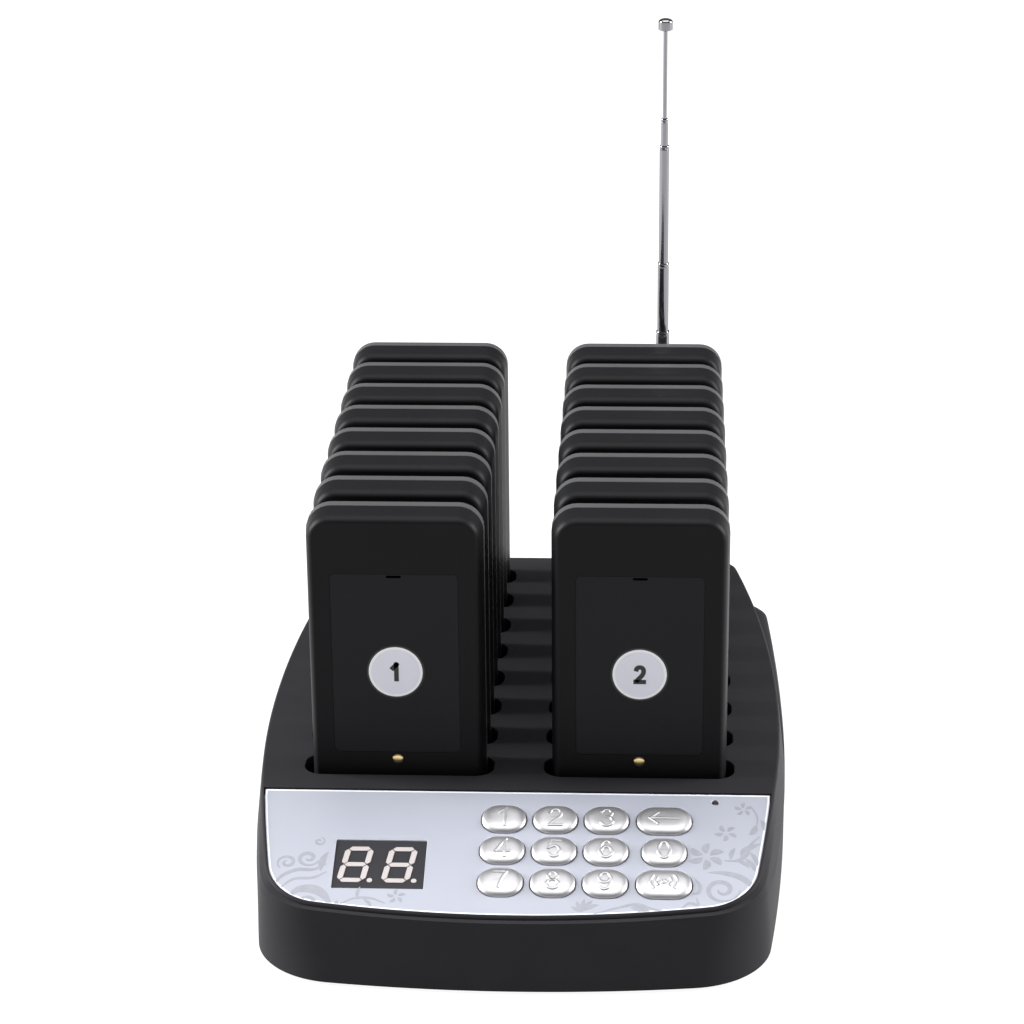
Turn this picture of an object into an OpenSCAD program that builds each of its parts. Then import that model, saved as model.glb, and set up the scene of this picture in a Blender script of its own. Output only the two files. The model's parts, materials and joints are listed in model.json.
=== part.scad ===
// Guest paging set: a charging and calling base with sixteen plug-in pagers.
// Origin: centre of the base's footprint on the table. +Z up, the keypad faces -Y.

/* [Base] */
// Width of the base at its widest, near the table
base_w = 163.2; // [162:0.2:166]
// Depth of the base, front to back
base_d = 235; // [234:0.2:240]
// Height of the deck above the table
deck_h = 38.3; // [38:0.1:42]
// Width of the deck at its widest
deck_w = 158; // [156:0.5:160]
// Thickness of the base's walls
wall = 2.2; // [1.8:0.1:2.4]

/* [Control panel] */
// Slope of the control panel, in degrees
panel_slope = 17; // [15:1:18]
// Width of the black rim that the deck leaves around the panel
panel_rim = 1.1; // [0.8:0.1:2]
// Thickness of the panel plate
panel_t = 1.6; // [1.2:0.1:1.8]
// Width of a narrow key
key_w = 13; // [12:0.1:13.5]
// Width of the DELETE and CALL keys
wide_key_w = 16; // [15:0.1:17]
// Height of every key, along the slope
key_h = 11.2; // [10:0.1:11.6]
// Height of a key's crown above the panel
key_rise = 1.6; // [1.2:0.1:2]
// Travel of a key
key_travel = 1.0; // [0.6:0.1:1.2]

/* [Pagers] */
// Width of a pager
pager_w = 52; // [48:0.5:54]
// Thickness of a pager
pager_t = 12.3; // [12:0.1:13]
// Height of a pager
pager_h = 96; // [90:0.5:110]
// Length of the pager that stands below the deck
slot_depth = 13.4; // [10:0.1:14]
// Distance between two rows of pagers
row_pitch = 20.85; // [19.6:0.05:20.85]
// Distance from the middle of the base to the middle of a column
column_x = 35.85; // [34.5:0.05:36.5]

/* [Antenna] */
// Place of the antenna across the base
antenna_x = 42; // [36:0.5:48]
// Outer diameters of the four tubes, the widest first
tube_d = [4.5, 3.8, 3.2, 2.35];
// Inner diameters of the four tubes
tube_bore = [4.1, 3.45, 2.6, 1.6];
// Height of each tube's top above the deck, as it stands pulled out
tube_top = [85.3, 109.1, 149.2, 158.3];
// Length of each tube
tube_len = [73.6, 68, 66, 64];
// Diameter of the rod
rod_d = 1.35; // [1.2:0.05:1.45]
// Height of the rod's top above the deck, under its tip
rod_top = 187.5; // [180:0.5:195]

/* [Hidden] */
$fn = 40;
barrel_fn = 240;
ROWS = 8;
PAGERS = 2 * ROWS;
DIGIT_KEYS = ["key_1", "key_2", "key_3", "key_4", "key_5", "key_6", "key_7", "key_8", "key_9"];
EXTRA_KEYS = ["key_delete", "key_0", "key_call"];

// Thickness of a thin slab, and of the overlap that joins two shapes
slab = 0.02;
// How far a cutting shape runs past the face that it opens
cut = 10;

// Plan of a tier: bulged sides, bowed ends and rounded corners. Each side is one
// arc in front of the tier's widest place and a flatter one behind it
foot_h = 1;
front_bow_r = 390;
back_bow_r = 2000;
// Half width, where it is widest, front and rear side radius, front and back edge, corner radii
deck_tier = [deck_w / 2, -7.4, 520, 600, -114.7, 113.9, 18, 9];
skirt_tier = [base_w / 2, 20, 900, 1500, -base_d / 2, base_d / 2, 26, 12];
// Levels of each tier: height below the deck, and how far the plan grows there
deck_levels = [[0, -0.7], [0.3, -0.25], [0.9, 0], [8, 1.2], [16, 1.8], [deck_h - foot_h, -2]];
skirt_levels = [[15.3, -3], [16.2, -1.3], [18, -0.4], [23, -0.1], [deck_h - foot_h, 0]];
// The levels that the hollow inside follows, without the rounded edges
deck_hollow = [[0, 0], [16, 1.8], [deck_h - foot_h, -2]];
skirt_hollow = [[18, -0.4], [deck_h - foot_h, 0]];
foot_r = 6;
foot_x = 55;
foot_y = 90;

// Control panel, in its own frame: X right, Y up the slope, Z out of the panel
panel_top_y = -65.2;
panel_drop = 0.3;
panel_gap = 0.15;
panel_len = 60;
panel_seam = 0.4;
rim_rise = 0.4;
ledge_t = 2.1;
ledge_w = 4;
top_ledge = 2;
window_x = -38.3;
window_y = -30.85;
window_w = 26.4;
window_h = 19.5;
module_gap = 0.3;
module_t = 6;
module_drop = 0.4;
digit_h = 14.2;
digit_w = 8.2;
digit_pitch = 12.7;
digit_slant = 8;
segment_w = 1.5;
segment_t = 0.25;
segment_gap = 0.5;
digits_shift = -0.6;
point_x = 5.4;
led_x = 58.3;
led_y = -3.8;
led_r = 1;
led_rim = 0.4;
board_t = 1.6;
board_corner = [-56, -45];
board_size = [118, 42.4];
chip_x = [-44, 0, 28];
chip_y = -30;
chip_w = 10;
chip_t = 1.2;
pad_t = 1;
pad_corner = [-11, -44.4];
pad_size = [64, 38.8];
key_gap = 0.3;
key_corner = 5.2;
// Steps of a key's crown: share of its height where a step ends, and how far it is pulled in
key_crown = [[0.44, 0], [0.72, 0.5], [0.88, 1.1], [1, 2]];
flange_w = 0.8;
flange_h = 12.4;
flange_t = 0.8;
flange_gap = 0.2;
key_stem_r = 2.2;
key_stem_len = 1.7;
stop_gap = 0.1;
// Depth of the control board's face below the panel's face, so that a pressed key stops at the pad
board_depth = panel_t + flange_gap + flange_t + key_stem_len + key_travel + stop_gap + pad_t;
key_column_x = [-3.25, 11.7, 26.65];
extra_key_x = 43.4;
key_row_y = [-12, -24.8, -37.6];

// Pagers, each in its own frame: origin at the bottom centre of the front face
front_row_y = -55.4;
pager_corner = 7.5;
slot_gap = 0.7;
slot_reach = 2.3;
slot_corner = 5.5;
shell_t = 1.7;
front_t = 7.9;
seam_t = 0.4;
// Steps of the rounded edges: depth of a step from the outer face, and how far it is pulled in
front_edge = [[0, 1.2], [0.8, 0.4], [1.6, 0]];
rear_edge = [[0, 0.8], [0.8, 0]];
face_t = 2.5;
lip_gap = 0.2;
lip_reach = 1;
lip_t = 1;
lens_w = 37.4;
lens_bottom = 20.6;
lens_top = 77.8;
lens_t = 0.8;
lens_drop = 0.1;
lens_corner = 1.5;
lens_notch = [4, 1];
fit_gap = 0.05;
sticker_r = 8;
sticker_t = 0.15;
sticker_z = 46.7;
contact_z = 18.2;
contact_r = 1.6;
contact_len = 3.2;
contact_rise = 0.2;
foot_contact_x = 8;
foot_contact_r = 1.5;
// Circuit board, its four lights and its chip
pager_board_y = 4.6;
pager_board_t = 1.2;
pager_board_inset = 3.4;
light_x = 17;
light_z = [14, 84];
light_w = 3;
light_t = 0.7;
pager_chip_z = 64;
pager_chip_w = 8;
pager_chip_t = 0.9;
battery_size = [30, 3.6, 40];
battery_z = 38;
motor_x = 12;
motor_z = 24;
motor_r = 5;
motor_t = 2.8;
// Wells under the deck, and the boards and pins below them
tray_t = 1.4;
tray_floor_gap = 0.1;
charge_board_w = 28;
charge_board_end = 1;
charge_board_gap = 0.6;
charge_board_z = deck_h - slot_depth - tray_t - charge_board_gap - board_t;
row_span = (ROWS - 1) * row_pitch;
pin_r = 1.1;
pin_hole_gap = 0.2;

// Antenna
antenna_y = 108.3;
socket_r = 4.3;
socket_rise = 2;
stem_r = 3;
stem_len = 5.3;
post_r = 1.7;
running_gap = 0.1;
yoke_foot_r = 2.6;
yoke_foot_t = 0.9;
yoke_disc_r = 3.3;
yoke_disc_t = 1.3;
pivot_rise = 7.5;
ear_r = 2.6;
ear_w = 4;
ear_t = 1.4;
tongue_r = 2.4;
tongue_w = 3.6;
tongue_t = 3.2;
hinge_r = 0.9;
hinge_head = 0.5;
collar_r = 3;
collar_t = 1;
tube_floor = 2;
tip_r = 2.35;
tip_h = 3.9;
rod_len = 62;

// Fasteners and inlet
screw_places = [[-70.5, -30], [70.5, -30], [-70.5, 40], [70.5, 40], [0, -50.5], [0, 108.6]];
boss_r = 3.5;
screw_r = 1.25;
screw_head_r = 2.8;
screw_head_t = 1.6;
screw_len = 12;
screw_slot_w = 0.7;
screw_slot_len = 4;
boss_drill = 16;
screw_gap = 0.2;
bottom_t = 2.4;
bottom_gap = 0.3;
radio_corner = [28, 70];
radio_size = [26, 20];
radio_t = 1.2;
shield_size = [18, 16, 3];
shield_margin = 2;
jack_x = -30;
jack_z = 12;
jack_w = 9.5;
jack_len = 14;
jack_face_y = base_d / 2 - 1.4;
jack_bore_r = 3.15;
jack_bore_len = 10;
jack_pin_r = 1.05;
jack_pin_len = 9.5;
jack_gap = 0.2;

// ---------- shapes that repeat ----------

// A rectangle with rounded corners, centred
module rounded_rect(w, h, r) {
    square([w - 2 * r, h], center = true);
    square([w, h - 2 * r], center = true);
    for (sx = [-1, 1], sy = [-1, 1])
        translate([sx * (w / 2 - r), sy * (h / 2 - r)]) circle(r);
}

// The two halves of a tier's sides, which meet at its widest place
module side_arcs(half_w, widest_y, front_r, rear_r) {
    reach = 400;
    for (part = [[front_r, -reach], [rear_r, 0]]) intersection() {
        translate([half_w - part[0], widest_y]) circle(part[0], $fn = barrel_fn);
        translate([part[0] - half_w, widest_y]) circle(part[0], $fn = barrel_fn);
        translate([-reach, widest_y + part[1]]) square([2 * reach, reach]);
    }
}

module barrel(tier, front_y, back_y) {
    intersection() {
        side_arcs(tier[0], tier[1], tier[2], tier[3]);
        translate([0, front_y + front_bow_r]) circle(front_bow_r, $fn = barrel_fn);
        translate([0, back_y - back_bow_r]) circle(back_bow_r, $fn = 4 * barrel_fn);
    }
}

// A tier's plan with its corners rounded, grown by an offset
module tier_plan(tier, grow) {
    stretch = 60;
    intersection() {
        offset(r = tier[6] + grow) offset(delta = -tier[6]) barrel(tier, tier[4], tier[5] + stretch);
        offset(r = tier[7] + grow) offset(delta = -tier[7]) barrel(tier, tier[4] - stretch, tier[5]);
    }
}

module tier_hull(tier, levels, inset, top_cut) {
    hull() for (level = levels)
        translate([0, 0, deck_h - max(level[0], top_cut) - slab])
            linear_extrude(slab) tier_plan(tier, level[1] - inset);
}

// Places its children on the sloping panel, at a height above its face
module on_panel(rise = 0) {
    translate([0, panel_top_y, deck_h - panel_drop]) rotate([panel_slope, 0, 0]) translate([0, 0, rise])
        children();
}

// The two tiers of the base, shrunk by an inset, kept under the slope and above the bottom
module base_body(deck, skirt, inset, top_cut, slope_cut, bottom) {
    difference() {
        union() {
            tier_hull(deck_tier, deck, inset, top_cut);
            translate([0, 0, -inset]) tier_hull(skirt_tier, skirt, inset, 0);
        }
        on_panel(rim_rise - slope_cut) translate([-base_w, -base_d, 0])
            cube([2 * base_w, base_d + slope_cut, base_w]);
        translate([-base_w, -base_d, bottom - base_w]) cube([2 * base_w, 2 * base_d, base_w]);
    }
}

// Where each pager stands: odd numbers on the left, even ones on the right
function column_of(n) = n % 2 == 1 ? -column_x : column_x;
function row_y(n) = front_row_y + floor((n - 1) / 2) * row_pitch;

module at_pager(n) {
    translate([column_of(n), row_y(n), deck_h - slot_depth]) children();
}

// The outline of a slot, around the pager that stands in it
module slot_outline(grow = 0) {
    translate([0, pager_t / 2])
        rounded_rect(pager_w + 2 * (slot_reach + grow), pager_t + 2 * (slot_gap + grow), slot_corner + grow);
}

// A slice of a pager between two depths, with its outline pulled in all round
module pager_slice(from_y, to_y, inset) {
    translate([0, to_y, pager_h / 2]) rotate([90, 0, 0]) linear_extrude(to_y - from_y)
        rounded_rect(pager_w - 2 * inset, pager_h - 2 * inset, max(pager_corner - inset, 1));
}

// A key in the panel's frame: crown, body, flange under the panel and stem
module key(w, x, y) {
    flange_z = -panel_t - flange_gap - flange_t;
    on_panel() translate([x, y]) {
        for (step = key_crown) translate([0, 0, flange_z])
            linear_extrude(step[0] * key_rise - flange_z)
                rounded_rect(w - 2 * step[1], key_h - 2 * step[1], key_corner - step[1]);
        translate([0, 0, flange_z]) linear_extrude(flange_t)
            rounded_rect(w + 2 * flange_w, flange_h, key_corner);
        translate([0, 0, flange_z - key_stem_len]) cylinder(r = key_stem_r, h = key_stem_len + slab);
    }
}

module digit_key(number) {
    color("silver") key(key_w, key_column_x[(number - 1) % 3], key_row_y[floor((number - 1) / 3)]);
}

// A tube of the antenna, pulled out to its height above the deck
module tube(i) {
    bottom = deck_h + tube_top[i] - tube_len[i];
    color("silver") translate([antenna_x, antenna_y, bottom]) difference() {
        cylinder(d = tube_d[i], h = tube_len[i]);
        translate([0, 0, i == 0 ? tube_floor : -cut]) cylinder(d = tube_bore[i], h = tube_len[i] + 2 * cut);
    }
}

// ---------- base ----------

module base_cover() {
    color("#2b2a2d") difference() {
        union() {
            difference() {
                base_body(deck_levels, skirt_levels, 0, 0, 0, foot_h);
                base_body(deck_hollow, skirt_hollow, wall, wall, panel_t + ledge_t + rim_rise, foot_h - cut);
            }
            for (p = screw_places)
                translate([p[0], p[1], foot_h + bottom_t + running_gap])
                    cylinder(r = boss_r, h = deck_h - wall / 2 - foot_h - bottom_t);
        }
        panel_pocket();
        for (n = [1:PAGERS])
            translate([column_of(n), row_y(n), deck_h - 2 * wall]) linear_extrude(4 * wall) slot_outline();
        for (p = screw_places)
            translate([p[0], p[1], 0]) cylinder(r = screw_r, h = boss_drill);
        translate([antenna_x, antenna_y, deck_h - 2 * wall]) cylinder(r = stem_r + running_gap, h = 4 * wall);
        jack_space(jack_gap);
    }
}

// The pocket that holds the panel plate, and the opening behind it
module panel_pocket() {
    intersection() {
        on_panel(-panel_t - running_gap) translate([-base_w, -panel_len, 0])
            cube([2 * base_w, panel_len - panel_seam + panel_gap, 2 * cut]);
        linear_extrude(deck_h + cut) tier_plan(deck_tier, panel_gap - panel_rim);
    }
    intersection() {
        on_panel(-2 * cut) translate([-base_w, -panel_len, 0])
            cube([2 * base_w, panel_len - top_ledge, 4 * cut]);
        linear_extrude(deck_h + cut) tier_plan(deck_tier, -panel_rim - ledge_w);
    }
}

module jack_space(gap) {
    translate([jack_x - jack_w / 2 - gap, jack_face_y - jack_len - gap, jack_z - jack_w / 2 - gap])
        cube([jack_w + 2 * gap, jack_len + cut, jack_w + 2 * gap]);
}

module base_bottom() {
    color("#242426") difference() {
        translate([0, 0, foot_h]) linear_extrude(bottom_t) tier_plan(skirt_tier, -wall - bottom_gap);
        for (p = screw_places) translate([p[0], p[1], 0]) {
            cylinder(r = screw_r + screw_gap, h = cut);
            cylinder(r = screw_head_r + screw_gap, h = foot_h + screw_head_t);
        }
    }
}

module rubber_feet() {
    color("#151515") for (x = [-1, 1], y = [-1, 1])
        translate([x * foot_x, y * foot_y, 0]) cylinder(r = foot_r, h = foot_h);
}

module case_screws() {
    color("silver") for (p = screw_places) translate([p[0], p[1], foot_h + running_gap]) difference() {
        union() {
            cylinder(r = screw_head_r, h = screw_head_t - 2 * running_gap);
            cylinder(r = screw_r - fit_gap, h = screw_len);
        }
        for (turn = [0, 90]) rotate([0, 0, turn])
            cube([screw_slot_len, screw_slot_w, 2 * screw_slot_w], center = true);
    }
}

module front_panel() {
    color("#d6dae5") difference() {
        intersection() {
            on_panel(-panel_t) translate([-base_w, -panel_len, 0])
                cube([2 * base_w, panel_len - panel_seam, panel_t]);
            linear_extrude(deck_h + cut) tier_plan(deck_tier, -panel_rim);
        }
        on_panel(-cut) linear_extrude(2 * cut) {
            translate([window_x, window_y]) square([window_w, window_h], center = true);
            translate([led_x, led_y]) circle(led_r + panel_gap);
            for (y = key_row_y) {
                for (x = key_column_x) translate([x, y]) key_hole(key_w);
                translate([extra_key_x, y]) key_hole(y == key_row_y[1] ? key_w : wide_key_w);
            }
        }
    }
}

module key_hole(w) {
    rounded_rect(w + 2 * key_gap, key_h + 2 * key_gap, key_corner + key_gap);
}

module display_module() {
    color("#47464f") on_panel(-module_t - module_drop) translate([window_x, window_y])
        linear_extrude(module_t) square([window_w - module_gap, window_h - module_gap], center = true);
}

// Seven bars and a point for each of the two digits
module display_segments() {
    bar = digit_w - segment_w;
    post = digit_h / 2 - segment_w / 2;
    color("#d8cfcf") on_panel(-module_drop) for (side = [-1, 1])
        translate([window_x + side * digit_pitch / 2 + digits_shift, window_y])
            multmatrix([[1, tan(digit_slant), 0, 0], [0, 1, 0, 0], [0, 0, 1, 0]]) linear_extrude(segment_t) {
                for (y = [-1, 0, 1]) translate([0, y * post])
                    square([bar - segment_w - segment_gap, segment_w], center = true);
                for (x = [-1, 1], y = [-1, 1]) translate([x * bar / 2, y * post / 2])
                    square([segment_w, post - segment_w / 2], center = true);
                translate([point_x, -post]) circle(segment_w / 2);
            }
}

module indicator_led() {
    color("#3a1718") on_panel(-board_depth) translate([led_x, led_y]) {
        cylinder(r = led_r, h = board_depth - panel_drop);
        cylinder(r = led_r + led_rim, h = board_depth - panel_t - flange_gap);
    }
}

module control_board() {
    color("#1f5b35") on_panel(-board_depth - board_t) {
        translate(board_corner) linear_extrude(board_t) square(board_size);
        for (x = chip_x) translate([x, chip_y, -chip_t]) cube([chip_w, chip_w, chip_t + slab]);
    }
}

module keypad_pad() {
    color("#8f9296") on_panel(-board_depth) translate(pad_corner) linear_extrude(pad_t) square(pad_size);
}

// ---------- keys ----------

module key_0() {
    color("silver") key(key_w, extra_key_x, key_row_y[1]);
}

module key_delete() {
    color("silver") key(wide_key_w, extra_key_x, key_row_y[0]);
}

module key_call() {
    color("silver") key(wide_key_w, extra_key_x, key_row_y[2]);
}

// ---------- charging ----------

// A well for each pager, hung under the deck from one flange to a column
module slot_trays() {
    top = deck_h - wall - running_gap;
    floor_z = deck_h - slot_depth - tray_floor_gap;
    color("#1c1c1e") difference() {
        for (column = [-1, 1]) {
            for (row = [0:ROWS - 1])
                translate([column * column_x, front_row_y + row * row_pitch, floor_z - tray_t])
                    linear_extrude(top - floor_z + tray_t) slot_outline(tray_t);
            translate([column * column_x, front_row_y + (row_span + pager_t) / 2, top - tray_t])
                linear_extrude(tray_t) square([pager_w + 2 * slot_reach, row_span + pager_t], center = true);
        }
        for (n = [1:PAGERS]) {
            translate([column_of(n), row_y(n), floor_z]) linear_extrude(deck_h) slot_outline();
            for (x = [-1, 1])
                translate([column_of(n) + x * foot_contact_x, row_y(n) + front_t / 2, 0])
                    cylinder(r = pin_r + pin_hole_gap, h = deck_h);
        }
    }
}

module charge_boards() {
    color("#1f5b35") for (column = [-1, 1])
        translate([column * column_x - charge_board_w / 2, front_row_y - charge_board_end, charge_board_z])
            cube([charge_board_w, row_span + pager_t + 2 * charge_board_end, board_t]);
}

module charge_pins() {
    bottom = charge_board_z + board_t + fit_gap;
    color("#d9b45b") for (n = [1:PAGERS], x = [-1, 1])
        translate([column_of(n) + x * foot_contact_x, row_y(n) + front_t / 2, bottom])
            cylinder(r = pin_r, h = deck_h - slot_depth - fit_gap - bottom);
}

module radio_module() {
    color("#b9bcc0") translate([radio_corner[0], radio_corner[1], foot_h + bottom_t]) {
        linear_extrude(radio_t) square(radio_size);
        translate([shield_margin, shield_margin, radio_t - slab]) cube(shield_size);
    }
}

module dc_jack() {
    color("#111111") difference() {
        translate([jack_x - jack_w / 2, jack_face_y - jack_len, jack_z - jack_w / 2])
            cube([jack_w, jack_len, jack_w]);
        translate([jack_x, jack_face_y - jack_bore_len, jack_z]) rotate([-90, 0, 0]) difference() {
            cylinder(r = jack_bore_r, h = jack_bore_len + cut);
            cylinder(r = jack_pin_r, h = jack_pin_len);
        }
    }
}

// ---------- antenna ----------

module antenna_socket() {
    color("#1a1a1c") translate([antenna_x, antenna_y, deck_h]) difference() {
        union() {
            cylinder(r = socket_r, h = socket_rise);
            translate([0, 0, -stem_len]) cylinder(r = stem_r, h = stem_len + slab);
        }
        translate([0, 0, -stem_len - cut])
            cylinder(r = post_r + running_gap, h = stem_len + socket_rise + 2 * cut);
    }
}

// Post, retaining foot and the two ears of the tilt hinge
module antenna_yoke() {
    seat = socket_rise + running_gap;
    post_bottom = -stem_len - running_gap - yoke_foot_t;
    color("#c9cbd0") translate([antenna_x, antenna_y, deck_h]) difference() {
        union() {
            translate([0, 0, post_bottom]) cylinder(r = post_r, h = seat + slab - post_bottom);
            translate([0, 0, post_bottom]) cylinder(r = yoke_foot_r, h = yoke_foot_t);
            translate([0, 0, seat]) cylinder(r = yoke_disc_r, h = yoke_disc_t);
            for (side = [-1, 1]) translate([side * (tongue_t / 2 + running_gap + ear_t / 2), 0, 0]) {
                translate([-ear_t / 2, -ear_w / 2, seat + yoke_disc_t - slab])
                    cube([ear_t, ear_w, pivot_rise - seat - yoke_disc_t]);
                translate([0, 0, pivot_rise]) rotate([0, 90, 0])
                    cylinder(r = ear_r, h = ear_t, center = true);
            }
        }
        translate([0, 0, pivot_rise]) rotate([0, 90, 0]) cylinder(r = hinge_r, h = 2 * cut, center = true);
    }
}

module antenna_hinge_pin() {
    color("#9a9ca1") translate([antenna_x, antenna_y, deck_h + pivot_rise]) rotate([0, 90, 0])
        cylinder(r = hinge_r, h = tongue_t + 2 * (ear_t + hinge_head), center = true);
}

// The tongue that turns between the ears, and the collar under the widest tube
module antenna_knuckle() {
    collar_z = deck_h + tube_top[0] - tube_len[0];
    color("#c9cbd0") difference() {
        union() {
            translate([antenna_x, antenna_y, deck_h + pivot_rise]) rotate([0, 90, 0])
                cylinder(r = tongue_r, h = tongue_t, center = true);
            translate([antenna_x - tongue_t / 2, antenna_y - tongue_w / 2, deck_h + pivot_rise])
                cube([tongue_t, tongue_w, collar_z - collar_t + slab - deck_h - pivot_rise]);
            translate([antenna_x, antenna_y, collar_z - collar_t]) cylinder(r = collar_r, h = collar_t);
        }
        translate([antenna_x, antenna_y, deck_h + pivot_rise]) rotate([0, 90, 0])
            cylinder(r = hinge_r + running_gap, h = 2 * cut, center = true);
    }
}

module antenna_rod() {
    color("silver") translate([antenna_x, antenna_y, deck_h + rod_top - rod_len])
        cylinder(d = rod_d, h = rod_len);
}

module antenna_tip() {
    color("silver") translate([antenna_x, antenna_y, deck_h + rod_top]) cylinder(r = tip_r, h = tip_h);
}

// ---------- pagers ----------

module pager_front_shell() {
    difference() {
        union() {
            for (step = front_edge) pager_slice(step[0], front_t, step[1]);
        }
        pager_slice(face_t, front_t + cut, shell_t);
        lens_space(fit_gap, cut);
        translate([0, contact_len, contact_z]) rotate([90, 0, 0]) cylinder(r = contact_r + fit_gap, h = cut);
        foot_contact_space(fit_gap, cut);
    }
}

// The room that the lens takes, a little below the face, open to the front by a reach
module lens_space(gap, reach) {
    lens_h = lens_top - lens_bottom;
    translate([0, lens_drop + lens_t + gap, lens_bottom + lens_h / 2]) rotate([90, 0, 0])
        linear_extrude(lens_t + gap + reach)
            rounded_rect(lens_w + 2 * gap, lens_h + 2 * gap, lens_corner);
}

// The room that the two foot contacts take, open above by a reach
module foot_contact_space(gap, reach) {
    for (x = [-1, 1]) translate([x * foot_contact_x, front_t / 2, fit_gap - gap])
        cylinder(r = foot_contact_r + gap, h = shell_t + reach);
}

module pager_rear_shell() {
    lip_inset = shell_t + lip_gap;
    back_y = front_t + seam_t;
    difference() {
        union() {
            for (step = rear_edge) pager_slice(back_y, pager_t - step[0], step[1]);
            pager_slice(front_t - lip_reach, back_y + slab, lip_inset);
        }
        pager_slice(front_t - cut, pager_t - shell_t, lip_inset + lip_t);
    }
}

module pager_lens() {
    difference() {
        lens_space(0, 0);
        translate([0, 0, lens_top]) cube([lens_notch[0], 2 * cut, 2 * lens_notch[1]], center = true);
    }
}

// Circuit board, with its chip and the four call lights on its front
module pager_board() {
    pager_slice(pager_board_y, pager_board_y + pager_board_t, pager_board_inset);
    for (x = [-1, 1], z = light_z) translate([x * light_x, pager_board_y, z])
        cube([light_w, 2 * light_t, light_w], center = true);
    translate([0, pager_board_y, pager_chip_z])
        cube([pager_chip_w, 2 * pager_chip_t, pager_chip_w], center = true);
}

module pager_battery() {
    translate([-battery_size[0] / 2, pager_board_y + pager_board_t + lip_gap, battery_z]) cube(battery_size);
}

module pager_motor() {
    translate([motor_x, pager_board_y + pager_board_t + lip_gap, motor_z]) rotate([-90, 0, 0])
        cylinder(r = motor_r, h = motor_t);
}

// The domed contact on the face, and the two pads that meet the charging pins
module pager_contacts() {
    translate([0, contact_len - fit_gap, contact_z]) rotate([90, 0, 0])
        cylinder(r = contact_r, h = contact_len - fit_gap + contact_rise);
    foot_contact_space(0, 0);
}

module pager_sticker() {
    translate([0, lens_drop - fit_gap, sticker_z]) rotate([90, 0, 0]) cylinder(r = sticker_r, h = sticker_t);
}

module pager(n) {
    at_pager(n) {
        color("#18181a") pager_front_shell();
        color("#202023") pager_rear_shell();
        color("#121214") pager_lens();
        color("#1f5b35") pager_board();
        color("#b9bcc0") pager_battery();
        color("#9a9ca1") pager_motor();
        color("#d9b45b") pager_contacts();
        color("#dcdce4") pager_sticker();
    }
}

base_cover();
base_bottom();
rubber_feet();
case_screws();
front_panel();
display_module();
display_segments();
indicator_led();
control_board();
keypad_pad();
slot_trays();
charge_boards();
charge_pins();
radio_module();
dc_jack();
antenna_socket();
antenna_yoke();
antenna_hinge_pin();
antenna_knuckle();
for (i = [0:3]) tube(i);
antenna_rod();
antenna_tip();
for (number = [1:9]) digit_key(number);
key_0();
key_delete();
key_call();
color("#18181a") at_pager(1) pager_front_shell();  // pager_1_front_shell
color("#202023") at_pager(1) pager_rear_shell();  // pager_1_rear_shell
color("#121214") at_pager(1) pager_lens();  // pager_1_lens
color("#1f5b35") at_pager(1) pager_board();  // pager_1_board
color("#b9bcc0") at_pager(1) pager_battery();  // pager_1_battery
color("#9a9ca1") at_pager(1) pager_motor();  // pager_1_motor
color("#d9b45b") at_pager(1) pager_contacts();  // pager_1_contacts
color("#dcdce4") at_pager(1) pager_sticker();  // pager_1_sticker
for (n = [2:PAGERS]) pager(n);
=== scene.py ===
import json
import math
from collections import namedtuple

import bmesh
import bpy
from mathutils import Matrix, Vector


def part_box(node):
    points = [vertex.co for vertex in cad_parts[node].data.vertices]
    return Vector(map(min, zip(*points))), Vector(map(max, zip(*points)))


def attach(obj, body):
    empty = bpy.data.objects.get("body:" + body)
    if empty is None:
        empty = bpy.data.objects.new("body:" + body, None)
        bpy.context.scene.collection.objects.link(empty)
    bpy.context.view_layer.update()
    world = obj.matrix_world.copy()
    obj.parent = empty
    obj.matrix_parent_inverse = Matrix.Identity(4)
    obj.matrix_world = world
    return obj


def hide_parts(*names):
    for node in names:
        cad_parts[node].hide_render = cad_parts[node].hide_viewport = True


# Looks of a guest paging set: a charging and calling base with sixteen plug-in pagers
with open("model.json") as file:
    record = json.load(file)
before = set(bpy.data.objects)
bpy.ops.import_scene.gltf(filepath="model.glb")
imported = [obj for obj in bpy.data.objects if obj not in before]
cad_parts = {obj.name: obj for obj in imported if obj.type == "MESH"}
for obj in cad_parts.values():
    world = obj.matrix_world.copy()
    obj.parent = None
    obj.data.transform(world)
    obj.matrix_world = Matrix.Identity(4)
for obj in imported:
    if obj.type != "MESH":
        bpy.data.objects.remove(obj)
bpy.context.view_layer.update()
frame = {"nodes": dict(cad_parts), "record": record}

MM = 0.001
PAGERS = 16
KEYS = [f"key_{n}" for n in range(10)] + ["key_delete", "key_call"]

# Base, as the frame has it
COVER_LOW, COVER_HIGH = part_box("base_cover")
DECK_Z = COVER_HIGH.z
FLOOR_GAP = COVER_LOW.z
BASE_W = COVER_HIGH.x - COVER_LOW.x
FRONT_Y, BACK_Y = COVER_LOW.y, COVER_HIGH.y
WALL = 2.2 * MM

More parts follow.
